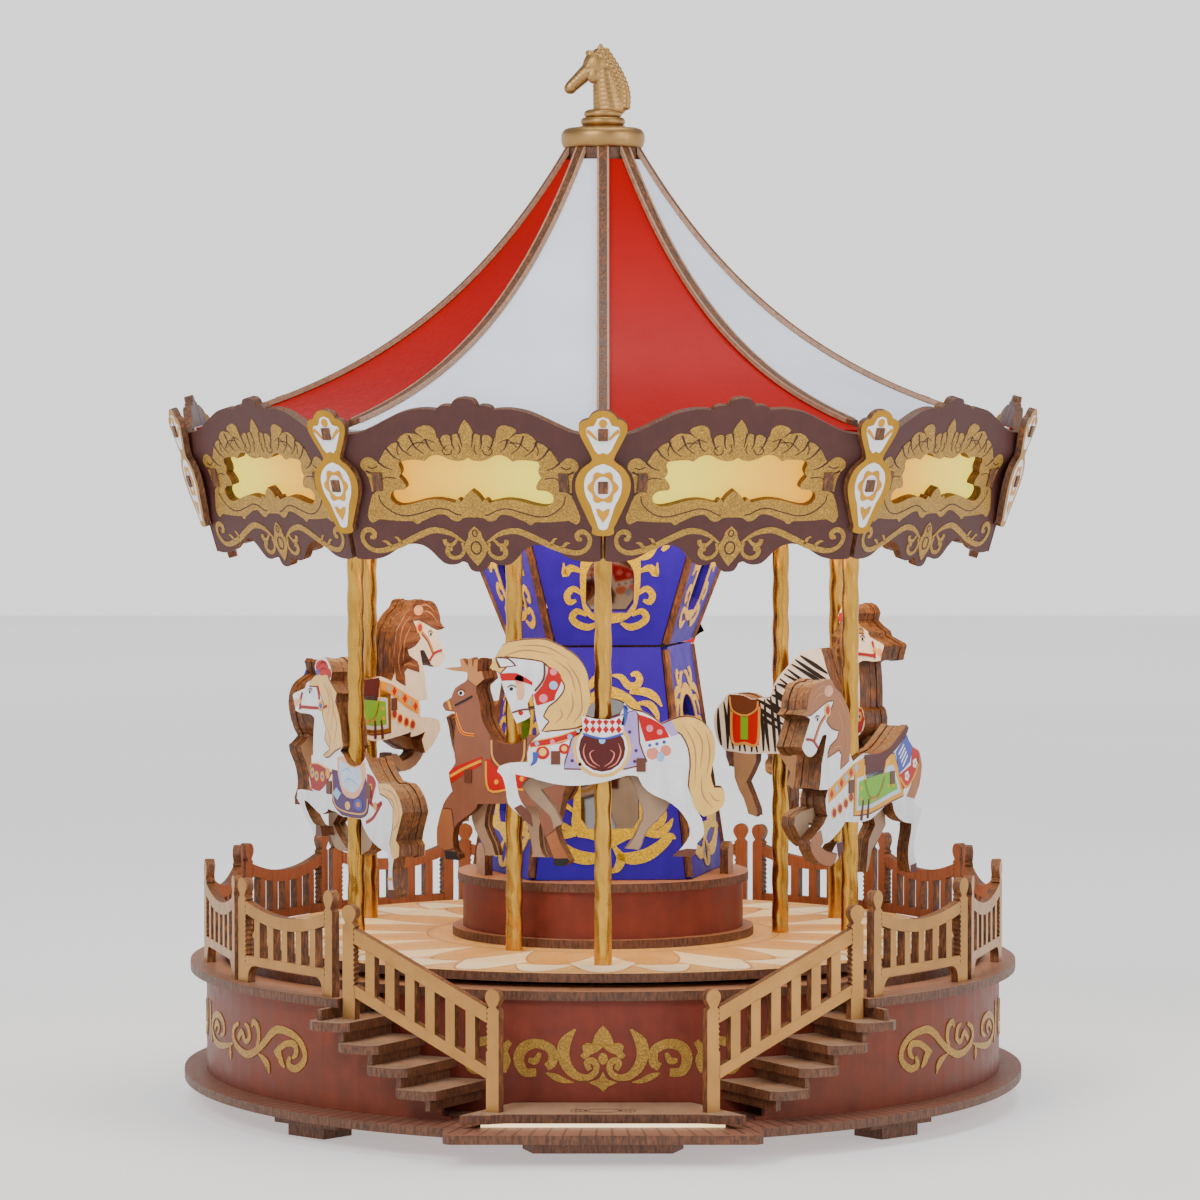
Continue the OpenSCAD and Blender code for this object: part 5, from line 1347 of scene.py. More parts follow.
ARAB = {
    "base": "ivory",
    "body": ARAB_BODY,
    "near": [
        [(24, 99), (25, 93), (27.5, 88.5), (28.2, 84), (26.2, 81.5), (26.2, 79.5), (25, 77.8), (19.5, 77.8),
         (22, 80.5), (24.2, 84), (23.5, 87.5), (21, 91), (17.5, 93.5), (14, 95), (11, 97.5), (9, 102),
         (20, 104)],
        [(-16, 103.5), (-21, 104.2), (-26, 104), (-29, 103), (-29.5, 101.5), (-28, 100), (-27, 96),
         (-26.5, 92.5), (-24, 90), (-22.5, 88.5), (-19.5, 86), (-20, 89.5), (-22, 92), (-23.5, 95),
         (-24.5, 100.8), (-18, 99.4)],
    ],
    "far": [
        [(7, 101), (20, 101), (19, 92.5), (16, 88), (12.5, 84.5), (11, 80.5), (10, 79), (6, 79.5),
         (8.5, 83), (10, 86.5), (11, 90)],
        [(-11, 102), (-19, 101), (-23, 97), (-20, 93), (-15, 88.5), (-14, 85), (-11, 86.5), (-13, 91),
         (-17, 96), (-10, 98.5)],
    ],
    "paint": [
        fill(2, "cream", [*ARAB_BODY[0:10], (-4.5, 117), (-6, 114.5), (-9.5, 113.6), (-14, 113.2),
            (-16.8, 112.8), (-14.8, 115.5), (-16.3, 117), (-15, 119.5), (-13, 121), (-11, 123.5),
            (-10.5, 125.5), (-11.5, 127.5), (-12.5, 129.5), (-15, 130.8), (-17, 132.5), (-22.5, 133.3),
            (-27.5, 133.8), (-26.5, 131.5), (-28.7, 129)]),
        fill(2, "cream", [*ARAB_BODY[18:34], (24.5, 103), (24, 108), (22, 112), (20, 113)]),
        *hair("tan", [[(-29, 133), (-22, 135.4), (-13, 134)], [(-24, 136.6), (-16, 136.4), (-9, 132.6)],
            [(-14, 133), (-9.4, 129.4), (-7.6, 123.6)], [(-10, 132), (-6.8, 127), (-5.8, 121)],
            [(-8.8, 124), (-8.4, 119.6), (-10.4, 115.6)], [(-6, 123), (-6, 118.4), (-8.4, 115)],
            [(-12, 119.4), (-11.4, 117), (-13.6, 114.8)], [(24.4, 114.8), (27.6, 110), (27, 102)],
            [(22.4, 114.6), (25.6, 108), (25.6, 98)], [(28.6, 113), (29.8, 107), (28.6, 99.6)],
            [(27.4, 100), (27.8, 95), (30.6, 91.4)], [(29.6, 96), (31, 93.8), (32.6, 93.4)]]),
        fill(3, "red", [(-15.3, 131), (-12.5, 129.5), (-11.5, 127.5), (-12, 125.5), (-13, 123.5),
            (-13.5, 121.5), (-17, 120.3), (-18.5, 120), (-19.3, 123), (-17, 125.5), (-15.5, 129)]),
        dot(4, "pink", -13.8, 129.4, 1.0), dot(4, "sky", -13.8, 125.6, 1.2),
        dot(4, "pink", -16.6, 122, 1.2),
        line(4, "brown", [(-16.3, 131.8), (-16.5, 127.5), (-19, 124)], 0.6),
        fill(4, "red", [(-28.7, 128.8), (-24, 129), (-19.6, 126.5), (-19.7, 125.6), (-24, 127),
            (-28.7, 126.7)]),
        fill(3, "peach", [(-24.4, 127), (-22.2, 127), (-21.8, 124), (-22.3, 121.5), (-23.8, 121.5)]),
        dot(4, "salmon", -23.3, 127.3, 1.2),
        line(4, "brown", [(-25.3, 118), (-22.5, 118.8), (-19.8, 119)], 0.5),
        dot(4, "red", -22.9, 117.9, 0.7), *eye(-25.4, 124.6),
        fill(5, "brown", [(-29, 130.4), (-30.4, 133.6), (-26.4, 133.4), (-24, 131)]),
        fill(6, "white", [(-28.4, 130.8), (-29.6, 133.1), (-26.6, 132.9), (-24.7, 131.2)]),
        fill(3, "red", [(-20.5, 110), (-17.5, 110.4), (-12, 111.5), (-7.5, 113), (-5.3, 114), (-6.5, 112),
            (-9, 110.8), (-11.5, 109.5), (-15, 109), (-18.5, 108.5), (-20.3, 108.3)]),
        line(4, "cream", [(-20.3, 109.9), (-12, 111.6), (-5.6, 114)], 0.3),
        line(4, "cream", [(-20.2, 108.3), (-15, 109), (-9, 110.8)], 0.3), dot(3, "red", -16.8, 106.8, 1.9),
        dot(4, "cream", -16.8, 107, 1.1), dot(3, "red", -10.8, 107.9, 1.5),
        dot(4, "cream", -10.8, 108, 0.8),
        *[dot(5, c, x, z, r) for c, x, z, r in (("pink", -14.1, 109.9, 0.7), ("sky", -9.2, 111.3, 0.7),
            ("sky", -18.4, 109.4, 0.6), ("sky", -6.9, 112.9, 0.5))],
        brush(4, "blue", [(-18.8, 107), (-19, 104.5), (-20.2, 103.2)], [1.6, 1.2, 0.3]),
        fill(2, "lilac", [(-10.8, 102.5), (-9.5, 107), (-6, 114), (8.5, 118.5), (9.5, 117.5), (10, 109.5),
            (12, 104.5), (6.3, 102.5)]),
        *dots(3, "purple", 0.5, ((-8.6, 104.6), (-6.4, 103.6), (8.8, 104.4), (9.2, 107.4), (7.4, 112.6),
            (-6.4, 110.6))),
        dot(3, "cream", -0.25, 108, 8.2), dot(4, "white", -0.25, 108, 7.2),
        dot(5, "maroon", -0.25, 108, 6.5),
        *[brush(6, "salmon", [(-0.25 + side * x, z) for x, z in path],
            [0.1, 0.35, 0.35, 0.1]) for side in (-1, 1) for path in ([(0.6, 103), (2.6, 104.4),
            (3.4, 106.6), (2.2, 107.6)], [(1.6, 102.6), (4, 104), (5.2, 107), (4.6, 109.4)])],
        fill(6, "white", [(-5.9, 117), (-5.6, 112.4), (-2.8, 111.5), (0, 110.9), (2.8, 111.5), (5.6, 112.4),
            (5.9, 117.4), (2, 116.6), (-2, 116.4)]),
        *[lozenge(7, "red", x, z, 0.85,
            1.15) for z in (113.3, 115.5) for x in (-4.6, -2.8, -1, 0.8, 2.6, 4.4)],
        dot(6, "sky", -0.25, 110.2, 0.9),
        line(7, "blue", [(-5.6, 112.2), (-2.8, 111.3), (0, 110.8), (2.8, 111.3), (5.6, 112.2)], 0.6),
        brush(6, "blue", [(5.5, 114.5), (6.3, 117.6), (6, 119.9), (7, 118.7)], [1.0, 1.1, 0.9, 0.4]),
        fill(3, "red", [(9.8, 117.5), (13.5, 116.3), (17, 114), (18.5, 111), (12, 109.5), (10.5, 114)]),
        fill(4, "white", [(12, 109.9), (18.5, 111.1), (19, 109.4), (12, 107.8)]),
        *dots(5, "blue", 0.5, ((13, 108.9), (15, 109.3), (17, 109.8))), dot(3, "salmon", 13.8, 106.6, 1.7),
        dot(3, "salmon", 17.5, 107.4, 1.5), dot(4, "sky", 16, 105.7, 1.0, 1.4),
        dot(4, "pink", 13, 113.6, 1.0), dot(4, "pink", 15.8, 112.6, 0.8),
        fill(3, "lilac", [(16.5, 115), (19, 116), (21, 112), (19, 111.3)]),
        *pegs(1.3, ((-13.2, 105.4), (10.6, 103.4))),
    ],
    "leg_paint": [
        fill(3, "brown", [(20.4, 80.2), (26.4, 79.9), (25, 77.8), (19.5, 77.8)]),
        fill(3, "brown", [(-24.8, 91.4), (-22.8, 92.4), (-19.8, 89.5), (-19.5, 86), (-22.5, 88.5)]),
    ],
}
PLUME_BODY = [(-32.2, 118), (-31.5, 119), (-24.5, 120.8), (-23.5, 122.3), (-19.5, 123.8), (-17, 125.3),
    (-18, 127.5), (-16.5, 129.3), (-13, 130.4), (-9.5, 129.5), (-7, 126.5), (-8, 123.8), (-4, 120.5),
    (-4.5, 118), (-3, 115), (-1.5, 111.3), (-0.8, 107.5), (0, 105.5), (-2, 104), (0, 103), (3, 100.6),
    (7, 100), (11, 100.8), (14, 103.3), (16.5, 100.5), (20, 97.8), (23, 96.3), (29, 96.5), (34.5, 93),
    (36.5, 89), (34.5, 85), (32.5, 81), (34.5, 79.5), (34.3, 76.5), (31.5, 75.6), (29.5, 76.8),
    (28.5, 79.5), (24, 81.5), (20, 83), (12, 83.8), (11, 85.3), (5, 85.3), (-1, 85.3), (-5, 86.3),
    (-10, 86.8), (-19, 91), (-21.5, 93.5), (-21.8, 95.5), (-21, 98.5), (-19.2, 99.5), (-19.2, 104),
    (-18.8, 109), (-18.2, 112.5), (-21, 113.5), (-27, 113.5), (-30.5, 114), (-31.2, 116)]
PLUME = {
    "base": "white",
    "body": PLUME_BODY,
    "near": [
        [(12, 88), (22, 88), (24, 81.5), (28, 80.3), (32, 79), (31.5, 76.5), (30.2, 72.5), (30.7, 67.5),
         (32, 65.5), (31.5, 64.2), (28.5, 64.2), (27.5, 68.5), (28, 74), (27, 77), (24, 77.5), (19, 79),
         (15, 81), (12, 83.5)],
        [(-9, 90), (-19, 91.1), (-27, 91.2), (-29.5, 90.8), (-30, 88.3), (-27.5, 86.5), (-24.5, 83.5),
         (-20.5, 80), (-17.5, 78.2), (-13.2, 78.5), (-14.5, 81.5), (-19, 81.8), (-23.5, 85.5), (-25, 88),
         (-23, 87.8), (-17, 85.5), (-14, 84.8), (-10, 86)],
    ],
    "far": [
        [(-12, 90), (-18, 86), (-18, 80), (-14, 74.8), (-8.5, 74), (-5, 75), (-9, 77.5), (-14.5, 82),
         (-9, 86)],
        [(3, 88), (12, 88), (10, 77.5), (6, 75), (2.5, 73.8), (2.5, 79)],
    ],
    "paint": [
        fill(2, "sand", [(-19.5, 123.8), (-16, 125.3), (-10, 125.5), (-8.5, 123.8), (-4, 120.5), (-5, 118),
            (-3, 115), (-1.5, 111.3), (0, 105.5), (-5, 104), (-9, 102), (-12.5, 101.8), (-8, 104),
            (-11.5, 107), (-10.5, 110), (-13, 114), (-12, 117), (-14, 119.5), (-15.5, 122), (-21.5, 121.8)]),
        *hair("tan", [[(-12, 123), (-8.6, 119), (-9.6, 113)], [(-9, 122), (-6, 117), (-7.6, 110)],
            [(-7, 117), (-4, 112), (-5.4, 106)], [(-10, 110), (-8, 107), (-8.6, 104)], [(24, 95), (31, 94),
            (34.6, 89.6)], [(26, 93.6), (31, 91.6), (32.6, 87.6)], [(34.6, 90), (34, 86), (29.6, 83)]]),
        dot(3, "red", -13.2, 127.4, 4.0, 2.3), dot(3, "red", -8.6, 126, 1.2, 1.4),
        dot(4, "blue", -16, 126, 1.0),
        *hair("crimson", [[(-16, 127), (-13, 129), (-9.6, 128.4)], [(-14.6, 126.4), (-12, 127.4),
            (-9.4, 126.4)]]),
        line(4, "crimson", [(-16.5, 122), (-15.4, 120), (-15, 118)], 0.9),
        line(4, "crimson", [(-26, 119.5), (-27.2, 117), (-27.5, 114.5)], 0.9),
        line(4, "crimson", [(-27, 115.3), (-15, 115.6), (-10, 116.5)], 0.9),
        dot(5, "gold", -13.8, 116.3, 1.6), dot(6, "blue", -13.8, 116.3, 0.8),
        dot(5, "gold", -27.3, 117, 0.8), *eye(-20.8, 120.0), dot(3, "peach", -30, 116.4, 1.3),
        fill(3, "crimson", [(-21.8, 96), (-20, 92), (-15, 91.5), (-10, 94.5), (-7, 97.5), (-15, 99.5),
            (-20, 99.5)]),
        line(4, "cream", [(-20.4, 99.2), (-15, 99.4), (-7.4, 97.6)], 0.4),
        *[dot(4, "gold", x, z, 1.3, 1.5) for x, z in ((-19.4, 96.6), (-16.6, 95.8), (-13, 95.9),
            (-9.6, 97))],
        *dots(5, "blue", 0.5, ((-19.4, 96.6), (-16.6, 95.8), (-13, 95.9))),
        fill(2, "purple", [(-7, 98), (-6.5, 89), (-1, 86), (11, 85.9), (15, 87.5), (16, 91.5), (14, 97)]),
        line(3, "gold", [(-6.6, 97), (-5.9, 89.4), (-1, 87), (10.6, 86.7), (14.6, 88.2), (15.2, 91.4)], 0.5),
        fill(3, "peach", [(-3.5, 102), (-3, 97), (0, 92), (5, 90.8), (10, 92), (14, 97), (13.6, 102),
            (7, 100.2), (3, 100.8), (0, 102.6)]),
        fill(4, "pale", [(-2, 101.6), (3, 100.2), (7, 99.6), (11, 100.4), (12, 96), (8, 93), (4.5, 92.6),
            (0, 94), (-2, 97.5)]),
        *[brush(5, "sky", path, [0.2, 0.6, 0.2]) for path in ([(-0.6, 98), (3, 99.2), (6.6, 97.6)],
            [(0.4, 95), (4, 96.4), (9.4, 95)])],
        fill(4, "sky", [(-6.6, 91.6), (-4, 93.3), (-1.2, 91.8), (-3.4, 89.7)]),
        dot(4, "blue", 9.8, 89.4, 2.6, 1.7), dot(5, "orange", 9.8, 89.4, 1.2, 0.8),
        dot(4, "sand", 3, 88.6, 1.6, 1.2),
        fill(3, "crimson", [(15, 98.6), (19, 97.9), (20.5, 96), (17.4, 90), (15.4, 92)]),
        line(3, "crimson", [(16.5, 90.6), (20, 89.6), (24, 91)], 1.1),
        line(3, "crimson", [(24, 91), (19, 86.5), (14.4, 84.6)], 1.0), dot(5, "gold", 20.2, 89.7, 1.1),
        dot(4, "gold", 17.4, 95, 1.0),
        fill(2, "sand", [(22, 96.3), *PLUME_BODY[27:36], (29, 79.6), (30, 82), (31, 86), (31, 90),
            (28, 92.5), (23, 93.6)]),
        *pegs(1.5, ((-8.8, 93), (16.2, 93.5))),
    ],
    "leg_paint": [
        fill(3, "brown", [(27.8, 66.6), (31, 66.9), (32, 65.5), (31.5, 64.2), (28.5, 64.2)]),
        fill(3, "brown", [(-17.4, 81.8), (-14.5, 81.5), (-13.2, 78.5), (-17.5, 78.2)]),
        line(4, "gold", [(27.4, 69.6), (30.6, 69.8)], 0.7),
    ],
}
BOWED_BODY = [(-37, 116.5), (-34.5, 118), (-34, 120.5), (-31.5, 124), (-28, 125.3), (-24.5, 125.3),
    (-23, 125.9), (-19.5, 125.5), (-18, 123.5), (-14, 121.5), (-11.5, 119.3), (-9, 116.5), (-8, 112.5),
    (-7.5, 108.5), (-8, 104), (-6, 101.5), (0, 103.3), (5, 102.8), (11, 102.8), (17, 104), (23, 107),
    (28, 110), (29.2, 109), (28, 105.5), (34, 103.5), (37, 101), (38, 97.5), (36.5, 92), (33.5, 87.5),
    (27, 86), (18, 88), (11, 86), (5, 84), (-2, 83.8), (-8, 84.3), (-15, 85), (-21, 86.5), (-22.5, 88.5),
    (-23, 92), (-21.5, 94.5), (-27, 94.8), (-26, 98), (-25.5, 102), (-24, 105.5), (-22.5, 110), (-25, 110),
    (-29, 105.5), (-32.5, 104.5), (-35.5, 105.5), (-37.5, 107.5), (-35.5, 110.5), (-32.5, 115),
    (-34, 115.8)]
BOWED = {
    "base": "white",
    "body": BOWED_BODY,
    "near": [
        [(18, 91), (33, 90), (33.5, 87), (36.5, 85.3), (38, 84.8), (37.5, 82.5), (35, 79), (33.5, 75),
         (33.5, 71.5), (35, 69), (34.5, 66.5), (31, 66.4), (29.5, 70), (29.5, 74), (31, 78), (31.5, 80.8),
         (27, 81.5), (23, 83), (20, 85.5)],
        [(-8, 88), (-20, 88), (-24, 85), (-29, 82.5), (-32.5, 81), (-32, 78), (-27, 74), (-20, 72.5),
         (-15, 74.5), (-12, 76.5), (-12.3, 79), (-16, 79), (-19, 76.5), (-24, 77.5), (-26, 79), (-21, 79.5),
         (-17, 81), (-12, 83.5)],
    ],
    "far": [
        [(-18, 90), (-30, 89), (-34, 87.5), (-34.5, 85), (-30, 80.5), (-25.5, 78.3), (-23.5, 82.5),
         (-25.5, 85), (-21, 84), (-17, 83.8)],
        [(12, 88), (22.5, 88), (23.5, 80.8), (19, 77), (14.5, 74), (13, 70), (11.5, 67.8), (10, 68),
         (11, 72.5), (12, 77.5), (16, 81.5), (14, 84.5)],
    ],
    "paint": [
        fill(2, "walnut", [*BOWED_BODY[0:5], *BOWED_BODY[6:10], (-9, 116.5), (-7.5, 108.5), (-9, 102),
            (-14, 100), (-13, 104), (-15, 105.5), (-22, 103.8), (-20.5, 106.5), (-16, 108.5), (-15, 111),
            (-19.5, 112), (-22.5, 114), (-20.5, 116), (-18, 119.5), (-22, 119.8), (-29, 117.5),
            (-35, 115.8)]),
        *hair("tan", [[(-33, 118), (-28, 121.6), (-22, 122)], [(-31, 121.6), (-26, 124), (-20, 123.4)],
            [(-17, 121), (-12, 117), (-10.6, 111)], [(-17, 117.6), (-13.6, 113.6), (-12.8, 107.4)],
            [(-12, 113), (-10, 108), (-11.4, 103)], [(-21, 105.2), (-16, 106.4), (-13, 106)]]),
        dot(3, "peach", -21.5, 122.5, 2.6, 1.6),
        fill(3, "walnut", [(36, 102), (38, 97.5), (36.5, 92), (33, 88), (28, 89), (31, 92), (33.4, 96)]),
        dot(4, "cream", -22.2, 117.1, 1.9), dot(5, "red", -22.2, 117.1, 1.2),
        line(4, "crimson", [(-23.5, 115.5), (-27, 113), (-30, 109)], 1.0),
        line(5, "gold", [(-23.5, 115.5), (-27, 113), (-30, 109)], 0.35),
        line(4, "crimson", [(-35, 109.6), (-31, 109), (-28, 106.8)], 0.8), *eye(-28.4, 114.9),
        fill(3, "maroon", [(1, 103), *BOWED_BODY[17:23], (27, 106.5), (20, 102.8), (14.5, 100.5), (13, 96),
            (8, 93), (3, 94), (1, 99)]),
        brush(4, "cream", [(1, 100), (1, 96), (3, 91.5), (6, 90), (10, 91), (13, 95), (14, 98), (17, 101)],
            [0.4, 0.9, 1.1, 1.1, 1.1, 1.0, 0.9, 0.4]),
        fill(3, "yellow", [(-21.5, 94.5), (-14, 97.4), (-6, 100.6), (0.5, 102), (0, 99.4), (-7, 97),
            (-14, 93.4), (-21.4, 90.6)]),
        *[lozenge(4, c, x, z, 1.2, 1.4) for c, x, z in (("red", -19.6, 93.1), ("sky", -16.6, 94.4),
            ("red", -13.6, 95.8), ("sky", -10.6, 97.2), ("red", -7.6, 98.4), ("sky", -4.4, 99.5))],
        *dots(3, "cream", 1.7, ((-18, 87.6), (-14.4, 88.6), (-10.8, 89.8), (-7.6, 91.4))),
        *dots(4, "crimson", 1.2, ((-18, 87.6), (-14.4, 88.6), (-10.8, 89.8), (-7.6, 91.4))),
        fill(2, "yellow", [(-5, 97.5), (-5.5, 86), (5, 86), (18, 88.4), (26, 89.5), (24.4, 94), (20, 102),
            (10, 102), (1, 102)]),
        fill(3, "pale", [(-3.8, 96.5), (-4.2, 87.3), (5, 87.3), (17.6, 89.6), (24.2, 90.6), (22, 94.6),
            (19, 99)]),
        fill(4, "green", [(-2.6, 95.5), (-3, 88.5), (5, 88.5), (17, 90.8), (22, 91.6), (20.4, 94.6),
            (16, 97)]),
        *dots(5, "yellow", 0.6, ((-1.4, 90.4), (-1.2, 93.4), (16, 93), (19.2, 93))),
        fill(3, "red", [(23, 95.5), (31, 98), (31.5, 103.4), (35.5, 102), (36, 98), (32, 94), (25.6, 91)]),
        line(4, "yellow", [(23.4, 95), (27.6, 91.8), (32, 94), (35.6, 98)], 0.7), *petals(33.2, 98.4),
        *petals(28, 95), *dots(6, "yellow", 0.5, ((33.2, 98.4), (28, 95))),
        fill(3, "blue", [(21, 102.5), (28, 107), (31.5, 103.6), (30, 99), (23, 96)]),
        *[line(4, "white", [(22.6 + 0.9 * i, 101.6 - 1.2 * i), (26 + 0.8 * i, 104.4 - 1.1 * i)],
            0.6) for i in range(4)],
        line(5, "maroon", [(0, 90), (-0.6, 87), (-1, 84.2)], 1.1),
        line(5, "maroon", [(3.5, 90), (3.2, 87), (3, 84.5)], 1.1), *pegs(1.5, ((-7.5, 94.4), (18.5, 95.2))),
    ],
    "leg_paint": [
        fill(3, "maroon", [(-16.4, 79), (-12.3, 79), (-12, 76.5), (-15, 74.5)]),
        fill(3, "maroon", [(30.8, 68.6), (34.8, 69), (34.5, 66.5), (31, 66.4)]),
        fill(2, "walnut", [(-32, 82), (-26, 83), (-25, 80), (-26, 78.5), (-22, 76.8), (-16, 75.5),
            (-18, 73.6), (-20, 72.6), (-27, 74.2), (-31.8, 78)]),
    ],
}
DEER_BODY = [(-21.4, 116.8), (-21, 117.9), (-18.5, 119.3), (-17.2, 122.1), (-13.7, 124.1), (-13, 125.2),
    (-13.2, 126.8), (-17.8, 127.1), (-20.7, 127.6), (-18.5, 128), (-15, 128), (-15.6, 130.4),
    (-14.6, 130.7), (-13, 128.4), (-12.7, 130.6), (-11.6, 130.6), (-11.2, 128), (-10.8, 130.4),
    (-9.6, 130.4), (-9.8, 127), (-8.4, 127.2), (-7.6, 124.9), (-10.1, 122.9), (-10.1, 121), (-8.9, 117.7),
    (-8.5, 113.8), (-6.3, 109.9), (-4, 107.5), (0, 106.5), (4, 107), (7, 109.5), (9, 108), (13, 106.5),
    (17, 104), (19.5, 105.5), (21.5, 104.5), (20.5, 101), (19.5, 96), (17, 91), (10, 89), (0, 89.5),
    (-8, 89), (-14, 89.5), (-18.2, 92.5), (-19.4, 97.7), (-17.2, 100.4), (-17.5, 102.7), (-17.5, 108.2),
    (-16.9, 112.7), (-17.5, 115.2), (-20.4, 115.4)]
DEER = {
    "base": "rosy",
    "body": DEER_BODY,
    "near": [
        [(10, 94), (18.5, 94), (17.5, 88), (16, 83), (18, 78), (20.5, 74), (19, 72.5), (15.5, 72.5),
         (15, 75), (12.5, 80.5), (10.5, 86)],
        [(-9, 94), (-16, 94), (-20.4, 89.9), (-21.7, 87.1), (-23.3, 81.6), (-23.3, 76.6), (-21, 75.2),
         (-20.4, 72.7), (-16.2, 72.5), (-16.2, 74.3), (-17.8, 76), (-17.8, 81.6), (-14, 84.9), (-10, 88)],
    ],
    "far": [
        [(2, 94), (11, 94), (10, 88), (8.5, 82.5), (9, 77), (10.5, 74), (5.5, 73.8), (5.5, 77), (4, 83),
         (3, 88)],
        [(-6, 94), (-14, 94), (-15, 87), (-13.5, 81), (-10.5, 76.5), (-10, 73.5), (-6, 73.8), (-7, 77.5),
         (-9.5, 82.5), (-8.5, 88)],
    ],
    "paint": [
        fill(2, "tan", [(-13.4, 125), *DEER_BODY[6:23]]),
        fill(3, "red", [(-19.4, 98.4), (-14.6, 100.4), (-8.2, 102.7), (-8.5, 100.2), (-14, 97.5),
            (-18.5, 94.6)]),
        line(4, "yellow", [(-18.8, 96.6), (-14.3, 99), (-8.4, 101.5)], 0.8),
        line(3, "yellow", [(-17.2, 114.9), (-16.2, 112.1), (-14.6, 109.3), (-10.8, 108.8)], 0.9),
        line(4, "red", [(-17.2, 114.9), (-16.2, 112.1), (-14.6, 109.3), (-10.8, 108.8)], 0.35),
        line(4, "black", [(-17.2, 117.1), (-14, 118.6), (-11.4, 119.9)], 0.6),
        line(4, "yellow", [(-19.4, 118.4), (-18.6, 115.8)], 0.7), *eye(-15.1, 120.7),
        fill(3, "red", [(-7, 102), (6, 102.4), (8, 94), (-6, 92.6)]),
        line(4, "yellow", [(-6.9, 101.4), (-6, 93.2), (1, 93.7), (7.4, 94.6), (6.2, 102)], 0.6),
        fill(5, "brown", [(-5.6, 108.6), (-1, 106.6), (4, 107), (6.6, 109), (6, 101), (0, 98), (-5, 101)]),
        line(6, "gold", [(-5, 107.6), (-4.4, 102.2), (0, 99.2), (5.2, 102), (6, 108)], 0.6),
        *dots(6, "yellow", 0.7, ((-3.4, 95.6), (1, 96), (5, 96.8))),
        fill(3, "red", [(12, 106), (16, 104), (16.6, 96.4), (12.4, 95.6)]),
        line(4, "yellow", [(14, 104.6), (14.4, 100), (14.2, 96)], 0.8),
        ("fill", 7, "brown", rect(-14, 95, -11.6, 98.8)),
    ],
    "leg_paint": [
        fill(2, "walnut", [(-21.7, 87.1), (-23.3, 81.6), (-23.3, 76.6), (-21, 75.2), (-17.8, 76),
            (-17.8, 81.6), (-18.6, 87)]),
        fill(2, "walnut", [(16.2, 82.6), (18, 78), (20.5, 74), (15.4, 74.6), (12.9, 80.5)]),
        fill(3, "black", [(-20.8, 75), (-16.6, 75), (-16.2, 72.5), (-20.4, 72.7)]),
        fill(3, "black", [(15.2, 74.4), (20, 74.8), (20.5, 74), (19, 72.5), (15.5, 72.5)]),
    ],
}
ZEBRA_BODY = [(-14.4, 131.7), (-15.6, 131.6), (-16.4, 129.3), (-17.4, 126), (-19, 122), (-21.5, 117.5),
    (-22.8, 114), (-21.6, 112.2), (-18.6, 112.4), (-15, 115), (-11, 117.5), (-7.5, 116), (-4, 110),
    (-2.5, 106), (-2.8, 100.4), (3.2, 100.2), (9, 99.9), (13.3, 100.4), (17, 101), (19.5, 104.9),
    (20.3, 109.5), (19.4, 112.8), (17.5, 115), (15.2, 117.5), (10.2, 117.4), (7.6, 116.3), (5, 116.6),
    (1.5, 116.8), (0.6, 119.3), (-1.2, 122.7), (-4.5, 126.3), (-7, 129), (-9.6, 130.7), (-12.8, 131.6)]


def stripes(start, step, way, count, width):
    """Tapered bars that cross the body from edge to edge, every other step."""
    out = []
    for i in range(count):
        foot = Vector(start) + Vector(step) * i
        run = [t * 0.5 for t in range(-60, 61) if inside(tuple(foot + Vector(way) * t * 0.5), ZEBRA_BODY)]
        if len(run) < 4 or i % 2:
            continue
        low, high = run[0], run[-1]
        sway = 0.7 * math.sin(1.7 * i)
        path = [tuple(foot + Vector(way) * (low + (high - low) * t)
                      + Vector(step) * sway * math.sin(math.pi * t))
                for t in (0.02, 0.35, 0.68, 0.98)]
        out.append(brush(3 if way[0] > 0.5 else 4, "black", path,
                         [width * 0.5, width * 1.25, width * 1.1, width * 0.4]))
    return out


ZEBRA = {
    "base": "white",
    "bare_far_legs": True,
    "body": ZEBRA_BODY,
    "near": [
        [(13, 104), (19.5, 104.9), (18.9, 100.4), (18.7, 98.2), (17.4, 95.2), (15, 98)],
        [(2.5, 104), (-2.4, 104), (-3, 94.9), (-2.6, 86), (0, 86), (0.6, 89.9), (0.6, 96)],
    ],
    "far": [
        [(6, 104), (13.5, 104), (13.3, 92.7), (10.2, 86.6), (8.6, 82.1), (5.7, 81.3), (5.7, 83.8),
         (9.2, 91.6), (6, 97.7)],
        [(1, 104), (-5, 104), (-8, 99), (-9, 94), (-6.5, 90), (-4.2, 91.5), (-5.5, 95), (-2, 99.5)],
    ],
    "paint": [
        *stripes((-3, 107), (-0.42, 0.84), (0.9, 0.5), 26, 1.0),
        *stripes((-2.6, 100), (1.0, 0.02), (0.1, 1.0), 24, 0.85),
        fill(4, "black", [(-21.5, 117.5), (-22.8, 114), (-21.6, 112.2), (-19, 112.6), (-19, 116)]),
        fill(5, "red", [(4.4, 114.6), (14.6, 115), (14.2, 103), (5, 102.6)]),
        line(6, "gold", [(4.8, 114), (5.4, 103.2), (9.6, 103.1), (13.8, 103.6), (14.1, 114.4)], 0.8),
        fill(6, "green", [(8.6, 113.6), (11, 113.6), (11, 104.2), (8.6, 104.2)]),
        fill(7, "brown", [(5, 116.4), (7.6, 116.1), (10.2, 117.2), (15, 117.3), (14.2, 112.4), (9.6, 110.8),
            (5.6, 112.6)]),
        line(8, "gold", [(5.2, 115.6), (5.9, 113), (9.6, 111.3), (13.8, 112.8), (14.7, 116.8)], 0.5),
        *eye(-18.2, 119.9),
    ],
    "leg_paint": [],
}


